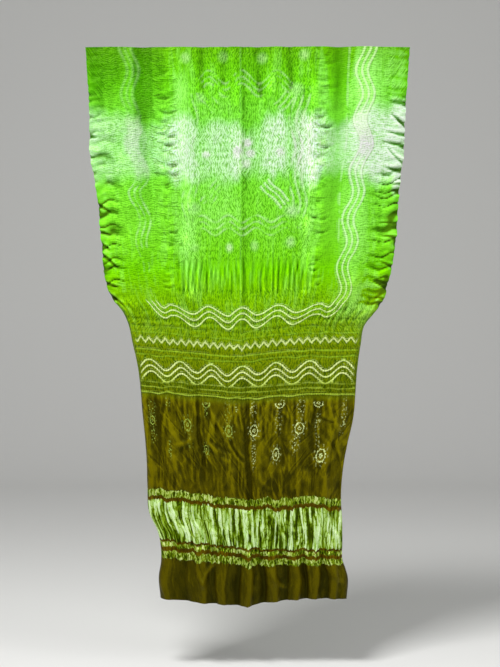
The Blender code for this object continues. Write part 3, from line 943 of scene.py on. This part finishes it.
def blurred(values, reach):
    """A grid of values averaged over reach steps to both sides, twice, along both its directions."""
    for _ in range(2):
        for axis in (0, 1):
            pad = [(0, 0), (0, 0)]
            pad[axis] = (reach + 1, reach)
            total = np.cumsum(np.pad(values, pad, mode="edge"), axis=axis)
            size = 2 * reach + 1
            high = np.take(total, range(size, total.shape[axis]), axis=axis)
            low = np.take(total, range(total.shape[axis] - size), axis=axis)
            values = (high - low) / size
    return values


def hollows(places, reach, height):
    """How far each place of the cloth stands out from reach steps around it, in units of height."""
    out = -places[:, 1].reshape(ROWS + 1, COLUMNS + 1)
    return ((out - blurred(out, reach)) / height).ravel()


def add_flat_map(mesh, across, drop):
    """A UV map that holds across and drop."""
    corners = np.empty(len(mesh.loops), int)
    mesh.loops.foreach_get("vertex_index", corners)
    flat_map = mesh.uv_layers.new(name="flat")
    flat_map.data.foreach_set("uv", np.column_stack((across, drop))[corners].ravel())


def add_field(mesh, name, *numbers):
    """A vector at each point of the mesh, for its material to read by name."""
    attribute = mesh.attributes.new(name, "FLOAT_VECTOR", "POINT")
    attribute.data.foreach_set("vector", np.column_stack(numbers).ravel())


def cloth_sheet():
    """The cloth as one open sheet of small squares, with the fields that its dye and its ties follow."""
    shape = bmesh.new()
    bmesh.ops.create_grid(shape, x_segments=COLUMNS, y_segments=ROWS, size=1)
    mesh = bpy.data.meshes.new("dyed_cloth")
    shape.to_mesh(mesh)
    shape.free()
    flat = np.empty(len(mesh.vertices) * 3)
    mesh.vertices.foreach_get("co", flat)
    across = flat[0::3]
    drop = (1 - flat[1::3]) / 2 * LENGTH
    places, recess, lips = hung(across, drop)
    mesh.vertices.foreach_set("co", places.ravel())
    add_flat_map(mesh, across, drop)
    add_field(mesh, "lines", *tied_lines(across, drop))
    add_field(mesh, "rings", *tied_rings(across, drop))
    # painted light from the selvedges' folds: a painted highlight on their raised lips, paler and lighter
    # green, and painted shade in their recesses, darker green and less pale
    white = white_share(across, drop) * (1 + 0.8 * lips) * (1 - 0.95 * recess)
    add_field(mesh, "dye", white, tone_and_painted_shade(across, drop) + 1.3 * recess - 0.3 * lips, scattered(across, drop))
    # how far each place stands out from those around it, for painted shade in the troughs of the folds and
    # painted highlights on their ridges; weaker in the wide troughs of the untied channels and near the top
    # edge, and wider over the brown ground
    sunk = window(np.abs(across), 0.54, 0.66, 0.03) * until(drop, 0.5, 0.54)
    shade_and_highlight_relief = hollows(places, 6, 0.003) * (1 - 0.75 * sunk) * (0.4 + 0.6 * step(drop, 0.04, 0.12))
    shade_and_highlight_relief += (hollows(places, 13, 0.004) - shade_and_highlight_relief) * step(drop, *BROWN)
    add_field(mesh, "puckers", tied_share(across, drop), upright_share(across, drop), shade_and_highlight_relief)
    # a finer relief, for painted shade and highlights on the comb and the brown ground
    near = hollows(places, 2, 0.001)
    add_field(mesh, "pleats", metal_pleats(across, drop), smooth_share(across, drop), near)
    mesh.shade_smooth()
    mesh.update()
    return add_object("dyed_cloth", mesh)


# ---------------------------------------------------------------- materials


def feed(entry, value):
    """Give a node's input a value, or what another node makes."""
    value = getattr(value, "socket", value)
    if isinstance(value, bpy.types.NodeSocket):
        entry.id_data.links.new(value, entry)
    else:
        entry.default_value = value


def add_node(tree, kind, inputs, **settings):
    """A new node with its settings and its inputs, by name or number."""
    node = tree.nodes.new("ShaderNode" + kind)
    for name, value in settings.items():
        setattr(node, name, value)
    for name, value in inputs.items():
        feed(node.inputs[name], value)
    return node


class Number:
    """A number that the nodes of a material carry. Arithmetic on it adds math nodes."""

    def __init__(self, socket):
        self.socket = socket
        self.tree = socket.node.id_data

    def math(self, operation, *others):
        inputs = dict(enumerate((self, *others)))
        return Number(add_node(self.tree, "Math", inputs, operation=operation).outputs[0])

    def __add__(self, other):
        return self.math("ADD", other)

    def __sub__(self, other):
        return self.math("SUBTRACT", other)

    def __rsub__(self, other):
        return self * -1 + other

    def __mul__(self, other):
        return self.math("MULTIPLY", other)

    def __truediv__(self, other):
        return self.math("DIVIDE", other)

    def __neg__(self):
        return self * -1

    def __abs__(self):
        return self.math("ABSOLUTE")

    def most(self, other):
        """The larger of this and the other."""
        return self.math("MAXIMUM", other)

    def held(self):
        """This, held between 0 and 1."""
        kept = self + 0
        kept.socket.node.use_clamp = True
        return kept

    def waves(self):
        """1 at each whole step, 0 between them."""
        return (self * 6.2832).math("COSINE") * 0.5 + 0.5

    def rise(self, start, end):
        """0 before start, 1 after end, and a smooth rise between."""
        inputs = {"Value": self, "From Min": start, "From Max": end}
        node = add_node(self.tree, "MapRange", inputs, interpolation_type="SMOOTHSTEP")
        return Number(node.outputs["Result"])

    def fall(self, start, end):
        """1 before start, 0 after end, and a smooth fall between."""
        return 1 - self.rise(start, end)

    def band(self, start, end, fade):
        """1 between start and end, fading to 0 over fade outside them."""
        return self.rise(start - fade, start) * self.fall(end, end + fade)


def colour(red, green, blue):
    """The linear colour of one given as it looks on a screen, 0 to 255."""
    seen = np.array((red, green, blue)) / 255
    linear = np.where(seen <= 0.04045, seen / 12.92, ((seen + 0.055) / 1.055) ** 2.4)
    return (*linear, 1)


def parts(vector):
    """The three numbers of a vector's socket."""
    return [Number(part) for part in add_node(vector.node.id_data, "SeparateXYZ", {0: vector}).outputs]


def field(tree, name):
    """The three numbers of a field of the mesh."""
    return parts(add_node(tree, "Attribute", {}, attribute_name=name).outputs["Vector"])


def noise(u, v, seed, detail=1):
    """Noise from 0 to 1, with about one lump for each whole step of u and v."""
    where = add_node(u.tree, "CombineXYZ", {0: u, 1: v, 2: seed}).outputs[0]
    made = add_node(u.tree, "TexNoise", {"Vector": where, "Scale": 1, "Detail": detail})
    return Number(made.outputs["Fac"])


def beads_of_dots(u, v):
    """Round dots, about one for each whole step of u and v, from 0 between them to 1 in their middles."""
    where = add_node(u.tree, "CombineXYZ", {0: u, 1: v}).outputs[0]
    inputs = {"Vector": where, "Scale": 1, "Randomness": 1}
    made = add_node(u.tree, "TexVoronoi", inputs, voronoi_dimensions="2D", feature="F1")
    return Number(made.outputs["Distance"]).fall(0, 0.75)


def strayed(value, across, drop, wide, tall, seed, detail, far):
    """The value moved at random, by up to half of far."""
    return value + (noise(across * wide, drop * tall, seed, detail) - 0.5) * far


def patchy(value, across, drop, wide, tall, seed, start, end):
    """The value where a noise lets it through."""
    return value * noise(across * wide, drop * tall, seed).rise(start, end)


def contour_lines(across, drop, wide, tall, width, seed):
    """Thin uneven lines that run down the cloth and fork, about one for each step of across * wide."""
    return abs(noise(across * wide, drop * tall, seed) - 0.5).fall(width * 0.25, width)


def fold_lines(across, drop, wide, tall, width, seed):
    """Thin folds that run down the cloth and fork: 1 along their bright side and -1 along their dark one."""
    side = (noise(across * wide, drop * tall, seed) - 0.5) / width
    return side * (1 - abs(side)).held() * 4


def mixed(share, first, second, way="MIX"):
    """Two colours mixed. Each is a colour or a socket."""
    node = add_node(share.tree, "Mix", {}, data_type="RGBA", blend_type=way)
    for index, value in ((0, share), (6, first), (7, second)):
        feed(node.inputs[index], value)
    return node.outputs[2]


def tinted(ground, share, red, green, blue):
    """The ground multiplied by a colour, as far as share says."""
    return mixed(share, ground, (red, green, blue, 1), "MULTIPLY")


def ramp(value, stops):
    """A colour that follows value through the stops, each (value from 0 to 1, colour)."""
    node = add_node(value.tree, "ValToRGB", {0: value})
    elements = node.color_ramp.elements
    while len(elements) < len(stops):
        elements.new(0.5)
    for element, (position, shade) in zip(elements, stops):
        element.position = position
        element.color = shade
    return node.outputs[0]


def new_material(name):
    """(material, its Principled shader) with nothing else in it."""
    material = bpy.data.materials.new(name)
    material.use_nodes = True
    return material, material.node_tree.nodes["Principled BSDF"]


# The colour of the ground down the cloth: green dye turning to brown, darker at the top edge and towards the
# bottom.
DIPS = table("drop red green blue", (
    (0, 86, 160, 2),
    (0.09, 96, 190, 14),
    (0.15, 102, 193, 42),
    (0.25, 106, 200, 46),
    (0.42, 111, 201, 38),
    (0.52, 106, 194, 0),
    (0.6, 118, 177, 0),
    (0.66, 110, 149, 0),
    (0.72, 108, 130, 0),
    (0.8, 90, 108, 0),
    (0.828, 85, 92, 0),
    (0.838, 77, 72, 0),
    (1, 71, 64, 0),
    (1.2, 59, 52, 0),
    (1.305, 51, 44, 0),
))
# The colour of the tied lines and dots down the cloth.
THREADS = table("drop red green blue", (
    (0, 192, 228, 160),
    (0.16, 196, 220, 178),
    (0.23, 204, 192, 206),
    (0.32, 196, 228, 182),
    (0.52, 194, 228, 164),
    (0.658, 220, 240, 160),
    (0.668, 150, 206, 40),
    (0.685, 150, 206, 40),
    (0.692, 226, 242, 162),
    (0.712, 226, 242, 162),
    (0.722, 146, 190, 40),
    (0.74, 146, 190, 40),
    (0.752, 228, 242, 164),
    (0.775, 228, 242, 164),
    (0.8, 186, 214, 70),
    (0.824, 176, 206, 60),
    (0.836, 220, 236, 160),
))
# From what drop to what drop each band woven with metal thread lies.
WIDE_BAND = (1.0835, 1.169)
NARROW_BANDS = ((1.059, 1.0735), (1.1755, 1.184), (1.195, 1.2105))
BAND_EDGE = 0.0012  # over which each of them starts and ends


def dip_ramp(drop, dips):
    return ramp(drop / LENGTH, [(dip.drop / LENGTH, colour(*dip[1:])) for dip in dips])


def fine_ribs(run, aside, seed):
    """Fine ribs, one for each whole step of run, bent and broken, from 0 in the grooves to 1 on the ribs."""
    bend = noise(run * 0.25, aside * 0.6, seed) - 0.5
    lump = noise(run * 0.9, aside * 1.1, seed + 1, 2).rise(0.3, 0.7)
    return (run + bend * 3.2).waves() * 0.46 + lump * 0.54


def pucker_beads(x, drop, upright):
    """The small puckers, from 0 in the grooves to 1: upright ones, or lying ones beside them."""
    tall = fine_ribs(x / 0.0058, drop / 0.009, 1)
    flat = fine_ribs(drop / 0.0056, x / 0.011, 12)
    return tall * upright + flat * (1 - upright)


def sharp_creases(across, drop):
    """Thin leaning creases of the brown ground: 1 along their bright side and -1 along their dark one."""
    creases = fold_lines(abs(across) + drop * 2.4, drop, 9, 12, 0.1, 31)
    creases = patchy(creases, across, drop, 5, 14, 32, 0.42, 0.56)
    others = fold_lines(across * 1.3 - drop * 1.6, drop, 10, 9, 0.1, 33)
    others = patchy(others, across, drop, 6, 16, 34, 0.46, 0.6)
    upright = patchy(fold_lines(across, drop, 16, 8, 0.12, 35), across, drop, 7, 12, 36, 0.46, 0.6)
    return (creases + others + upright) * drop.rise(0.825, 0.85) * (drop.rise(1.19, 1.21) * -0.6 + 1)


def lying_creases(across, drop):
    """Creases across the untied channels and the top of the selvedges, with a bright and a dark side."""
    sag = (abs(across) - 0.48) / 0.08
    creases = fold_lines(drop + sag * sag * 0.0035, across, 105, 11, 0.13, 41)
    creases = patchy(creases, across, drop, 16, 60, 42, 0.36, 0.54)
    channels = across.band(-0.575, -0.43, 0.025) + across.band(0.44, 0.515, 0.02) * 0.8
    selvedges = abs(across).rise(0.84, 0.9) * drop.fall(0.1, 0.17)
    return creases * channels.most(selvedges) * drop.fall(0.5, 0.56)


def dyed_ground_with_painted_shade(across, drop, beads, crinkled, upright, shade_and_highlight_relief, creases, comb):
    """The colour of the cloth between its ties: its dye, with painted shade and painted highlights on its
    puckers, folds and creases.
    """
    white, dark, _ = field(drop.tree, "dye")
    _, _, near = field(drop.tree, "pleats")
    cloud = noise(across * 8, drop * 14, 4, 2) - 0.5
    streaks = noise(across * 34, drop * 12, 5, 2) - 0.5
    # dark brings in the darker dye and painted shade of the tone table and of the selvedges' recesses; where
    # it is negative, lighter dye and painted highlights turn the green pale
    depth = dark + cloud * 0.5 + streaks * 0.8
    green = drop.fall(0.6, 0.75)
    ground = tinted(dip_ramp(drop, DIPS), depth.held() * green * 0.9, 0.32, 0.44, 0.05)
    ground = mixed((depth * -0.75).held() * green, ground, colour(168, 246, 128))
    # painted shade in the hollows of the selvedges, tinted brown rather than green
    selvedge = abs(across).rise(0.84, 0.94) * drop.band(0.34, 0.6, 0.06)
    ground = tinted(ground, dark.rise(0.15, 0.9) * selvedge * 0.8, 1.05, 0.62, 0.7)
    # the pale share keeps to the tips of the puckers and the green runs in between them
    kept = (white * (beads * 0.7 + 0.42) + cloud * (white * 0.8)).held()
    ground = mixed(kept, ground, colour(200, 217, 199))
    # painted shade in the grooves between the puckers and painted highlights on their tips, and the painted
    # shade and highlights of the folds below, all weaker where the cloth is pale
    painted_shade_strength = kept * -0.62 + 1
    groove = beads.fall(0.05, 0.6) * crinkled * painted_shade_strength
    groove = groove * (drop.rise(0.58, 0.68) * 0.14 + upright * 0.1 + 0.7)
    ground = tinted(ground, groove, 0.3, 0.46, 0.04)
    tips = beads.rise(0.5, 1) * crinkled * painted_shade_strength * (drop.rise(0.58, 0.68) * 0.25 + 0.5)
    ground = tinted(ground, tips, 1.45, 1.3, 1.6)
    # painted shade in the troughs of the folds and painted highlights on their ridges
    ground = tinted(ground, (-shade_and_highlight_relief).rise(0, 1.2) * painted_shade_strength * green * 0.85, 0.2, 0.26, 0.03)
    ground = tinted(ground, shade_and_highlight_relief.rise(0.1, 1) * painted_shade_strength * green * 0.6, 1.7, 1.6, 1.4)
    # on the brown ground the folds, the wrinkles and the weave get a painted gold sheen on their ridges and
    # painted shade in their hollows, mottled by the weave's texture and random tone
    brown = drop.rise(*BROWN)
    x = across * LOWER_HALF_WIDTH
    weave = noise(x * 230, drop * 40, 21, 2) * 0.55
    weave = weave + noise(x * 420, drop * 260, 22) * 0.45 - 0.5
    shine = shade_and_highlight_relief * 0.6 + near * 0.5 + weave * 3.4 + cloud * 1.3 + creases * 0.9 - dark * 1.1
    shine = shine + drop.rise(1.205, 1.235) * 0.25
    ground = tinted(ground, (-shine).rise(-0.1, 1.3) * brown * 0.78, 0.28, 0.26, 0.03)
    ground = tinted(ground, shine.rise(0, 1.8) * brown * 0.9, 2.3, 2.35, 2)
    # painted shade along the dark side of the creases of the channels and painted highlights along their
    # bright side
    ground = tinted(ground, (-creases).held() * green * 0.62, 0.34, 0.5, 0.06)
    ground = tinted(ground, creases.held() * green * 0.35, 1.35, 1.22, 1.9)
    # and painted shade between the ridges of the comb, with painted highlights on them
    ground = tinted(ground, (-near).rise(0, 1.2) * comb * 0.4, 0.45, 0.62, 0.05)
    ground = tinted(ground, near.rise(0, 1.4) * comb * 0.7, 1.4, 1.3, 2)
    # a line of painted shade runs right of the middle crease and a painted highlight along its left edge
    line = drop.fall(0.55, 0.75)
    ground = tinted(ground, across.band(0, 0.01, 0.02) * line * 0.2, 0.35, 0.5, 0.1)
    return mixed(across.band(-0.012, -0.006, 0.006) * line * 0.05, ground, colour(196, 246, 170))


def ring_marks(across, drop):
    """How much the tied rings and cups show."""
    sideways, down, strength = field(drop.tree, "rings")
    radius = (sideways * sideways + down * down).math("SQRT")
    radius = strayed(radius, across, drop, 80, 230, 8, 1, 0.75)
    ring = abs(radius - 0.9).fall(0.02, 0.15)
    core = abs(radius - 0.24).fall(0.02, 0.14)
    turns = down.math("ARCTAN2", sideways) * 9 + radius * 4
    rays = turns.math("COSINE").rise(0.45, 0.95) * radius.band(1.4, 1.55, 0.12) * 0.3
    cup = ring.most(core) * down.rise(-0.35, 0) * strength * -1
    return (ring.most(core).most(rays) * strength).most(cup)


def tied_marks(across, drop, beads):
    """(how much the tied lines, rings and dots show, how much painted shade lies in the groove beside them).
    """
    distance, dots, strength = field(drop.tree, "lines")
    aside = abs(distance)
    bead = dots.waves()
    soft = drop.fall(0.35, 0.6)
    line = (aside / (bead * 0.0006 + soft * 0.0009 + 0.0014)).fall(0.45, 1.5)
    # painted shade in a narrow groove beside each tied line
    groove = aside.band(0.0024, 0.0034, 0.0012) * strength
    # a weak line comes and goes
    gaps = noise(across * 12, drop * 34, 15).fall(0.3, 0.62)
    line = line * (bead * 0.2 + 0.8) * (strength - (1 - strength) * gaps * 0.6).held()
    _, _, shown = field(drop.tree, "dye")
    # a soft cluster between the small puckers of the green part, apart dots on the wide ground
    spot = beads_of_dots(across * 44, drop / 0.0062).rise(0.55, 0.74)
    spot = patchy(spot, across, drop, 70, 240, 16, 0.42, 0.56)
    lower = drop.rise(0.6, 0.8)
    spot = spot * lower + (beads * 0.55 + shown.rise(0.6, 0.8) * 0.3 + 0.15) * (1 - lower)
    return line.most(ring_marks(across, drop)).most(spot * shown).held(), groove


def metal_thread(across, drop):
    """(share of metal thread, its colour with painted shade in its troughs and painted highlights on its
    ridges, how brown the cloth beside it is, its relief).
    """
    pleat, smooth, _ = field(drop.tree, "pleats")
    level = drop
    for straying in ((6, 6, 6, 0, 0.014), (18, 6, 6.2, 0, 0.012), (60, 8, 6.5, 2, 0.013)):
        level = strayed(level, across, drop, *straying)
    wide, upper, middle, lower = (level.band(*band, BAND_EDGE) for band in (WIDE_BAND, *NARROW_BANDS))
    narrow = upper.most(middle).most(lower)
    bent = strayed(across, across, drop, 14, 22, 7.5, 2, 0.062)
    lines = contour_lines(bent, drop, 26, 6, 0.08, 17)
    lines = lines.most(contour_lines(bent, drop, 36, 9, 0.09, 18) * 0.8)
    cracks = contour_lines(bent, drop, 22, 6, 0.075, 19)
    panels = noise(bent * 24, drop * 9, 7, 0).rise(0.44, 0.56) - 0.5
    crackle = contour_lines(bent, drop, 22, 60, 0.045, 20)
    # fold runs from the troughs and dark cracks of the pleats to their ridges and bright lines, and through
    # the colour ramp below it paints shade and highlights over the metal thread's own pale green
    fold = pleat * 0.12 + lines * 0.38 - cracks * 0.44 + panels * 0.46 - crackle * 0.24
    fold = fold + smooth * 0.08 + 0.545
    leaning = strayed(across, across, drop, 40, 180, 10.5, 1, 0.03)
    bars = noise(leaning * 76, drop * 30, 10) - 0.5
    loops = contour_lines(leaning, drop, 46, 60, 0.12, 11.5)
    gather = noise(across * 24, drop * 20, 11) - 0.5
    rows = bars * 1.8 + loops * 0.45 + gather * 1.5 + 0.2
    stops = (
        (0, colour(44, 60, 0)),
        (0.28, colour(84, 112, 2)),
        (0.5, colour(128, 158, 26)),
        (0.66, colour(170, 206, 100)),
        (0.88, colour(198, 228, 150)),
        (1, colour(216, 242, 184)),
    )
    gilt_with_painted_shade_and_sheen = tinted(ramp(fold * (1 - narrow) + rows * narrow, stops), narrow, 0.88, 0.8, 0.56)
    return wide.most(narrow), gilt_with_painted_shade_and_sheen, level.band(1.064, 1.196, 0.003), fold * wide


def dyed_silk():
    """The silk's material: the dye, the tied dots, the bands woven with metal thread, and painted shade and
    highlights.
    """
    material, shader = new_material("dyed_silk")
    tree = material.node_tree
    across, drop, _ = parts(add_node(tree, "UVMap", {}, uv_map="flat").outputs["UV"])
    tied, upright, shade_and_highlight_relief = field(tree, "puckers")
    white, _, _ = field(tree, "dye")
    x = across * (drop.rise(0.54, 0.74) * -0.11 + UPPER_HALF_WIDTH)
    beads = pucker_beads(x, drop, upright)
    crinkled = tied * 0.85 + 0.15
    comb = drop.band(0.52, 0.568, 0.025) * across.band(*COMB_ACROSS, 0.03)
    creases = sharp_creases(across, drop) + lying_creases(across, drop)
    creases = creases + fold_lines(across, drop, 46, 9, 0.16, 51) * comb * 0.7
    ground = dyed_ground_with_painted_shade(across, drop, beads, crinkled, upright, shade_and_highlight_relief, creases, comb)
    marks, groove = tied_marks(across, drop, beads)
    # painted shade in the groove beside each tied line
    ground = tinted(ground, groove * 0.45, 0.35, 0.45, 0.1)
    # on the left of the wide ground the dots have taken up some of the dye
    dyed = across.fall(-0.15, 0.03) * drop.rise(0.825, 0.84)
    dots = mixed(dyed * 0.75, dip_ramp(drop, THREADS), colour(160, 196, 30))
    ground = mixed(marks * 0.9, ground, dots)
    metal, gilt_with_painted_shade_and_sheen, brown, relief = metal_thread(across, drop)
    mottle = noise(across * 70, drop * 400, 14)
    ground = mixed(brown * (mottle * 0.8 + 0.1), ground, colour(92, 66, 0))
    ground = mixed(metal, ground, gilt_with_painted_shade_and_sheen)
    grain = noise(x * 700, drop * 700, 3)
    # the puckers lie softer where the cloth is pale
    height = beads * crinkled * (white * -0.0004 + 0.0013) + marks * 0.0007 + grain * 0.0002
    height = height + creases * ((1 - metal) * 0.0005) + relief * 0.001
    bump = add_node(tree, "Bump", {"Strength": 1, "Distance": 1, "Height": height})
    feed(shader.inputs["Base Color"], ground)
    feed(shader.inputs["Metallic"], metal * 0.3)
    feed(shader.inputs["Roughness"], (metal * -0.12 + 0.48) + marks * 0.15 + (grain - 0.5) * 0.12)
    feed(shader.inputs["Specular IOR Level"], 0.16)
    feed(shader.inputs["Specular Tint"], (0.75, 1, 0.12, 1))
    feed(shader.inputs["Normal"], bump.outputs[0])
    return material


# ---------------------------------------------------------------- the studio

FLOOR_Z = -1.45
WALL_Y = 4.8
SWEEP_RADIUS = 1.2
SWEEP_REACH = 7  # how far it comes forward and goes up
SWEEP_HALF_WIDTH = 8
PHOTO_HEIGHT = 667  # in pixels
PIXEL = 0.00233  # metres of the cloth for one pixel of the photo
EYE = Vector((0.005, -3, -0.668))


def studio_sweep():
    """A pale floor that curves up into a pale wall."""
    floor = bpy.data.curves.new("floor", "CURVE")
    floor.dimensions = "3D"
    floor.extrude = SWEEP_HALF_WIDTH
    line = floor.splines.new("POLY")
    turns = np.linspace(0, np.pi / 2, 17)
    points = [(-SWEEP_REACH, 0)]
    points += [(WALL_Y - SWEEP_RADIUS * (1 - np.sin(a)), SWEEP_RADIUS * (1 - np.cos(a))) for a in turns]
    points += [(WALL_Y, SWEEP_REACH)]
    line.points.add(len(points) - 1)
    for point, (y, z) in zip(line.points, points):
        point.co = (y, z, 0, 1)
    sweep = add_object("floor", floor)
    sweep.rotation_euler = (np.pi / 2, 0, np.pi / 2)
    sweep.location = (0, 0, FLOOR_Z)
    material, shader = new_material("pale_floor")
    shader.inputs["Base Color"].default_value = (0.8, 0.8, 0.78, 1)
    shader.inputs["Roughness"].default_value = 0.7
    sweep.data.materials.append(material)


def area_light(name, place, target, size, power):
    lamp = bpy.data.lights.new(name, "AREA")
    lamp.shape = "RECTANGLE"
    lamp.size, lamp.size_y = size
    lamp.energy = power
    lit = add_object(name, lamp)
    lit.location = place
    lit.rotation_mode = "QUATERNION"
    lit.rotation_quaternion = (Vector(target) - Vector(place)).to_track_quat("-Z", "Y")


def light_the_studio():
    world = bpy.data.worlds.new("studio")
    world.use_nodes = True
    background = world.node_tree.nodes["Background"]
    background.inputs["Color"].default_value = (1, 1, 1, 1)
    background.inputs["Strength"].default_value = 0.32
    bpy.context.scene.world = world
    area_light("key", (-0.9, -1.4, 1.5), (0, 0, -0.55), (1, 0.7), 92)
    area_light("side", (1.9, -1.1, -0.2), (0, 0, -0.8), (0.6, 1.4), 14)


def set_camera():
    """Straight on, with the photo's frame."""
    camera = bpy.data.cameras.new("camera")
    camera.sensor_width = 36
    camera.lens = camera.sensor_width * abs(EYE.y) / (PHOTO_HEIGHT * PIXEL)
    seen_from = add_object("camera", camera)
    seen_from.location = EYE
    seen_from.rotation_euler = (np.pi / 2, 0, 0)
    bpy.context.scene.camera = seen_from


# ---------------------------------------------------------------- the scene

bpy.context.scene.view_settings.view_transform = "Standard"
set_camera()
light_the_studio()
studio_sweep()

cloth = cloth_sheet()
cloth.data.materials.append(dyed_silk())
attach(cloth, "root")
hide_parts("bandhani_cloth")
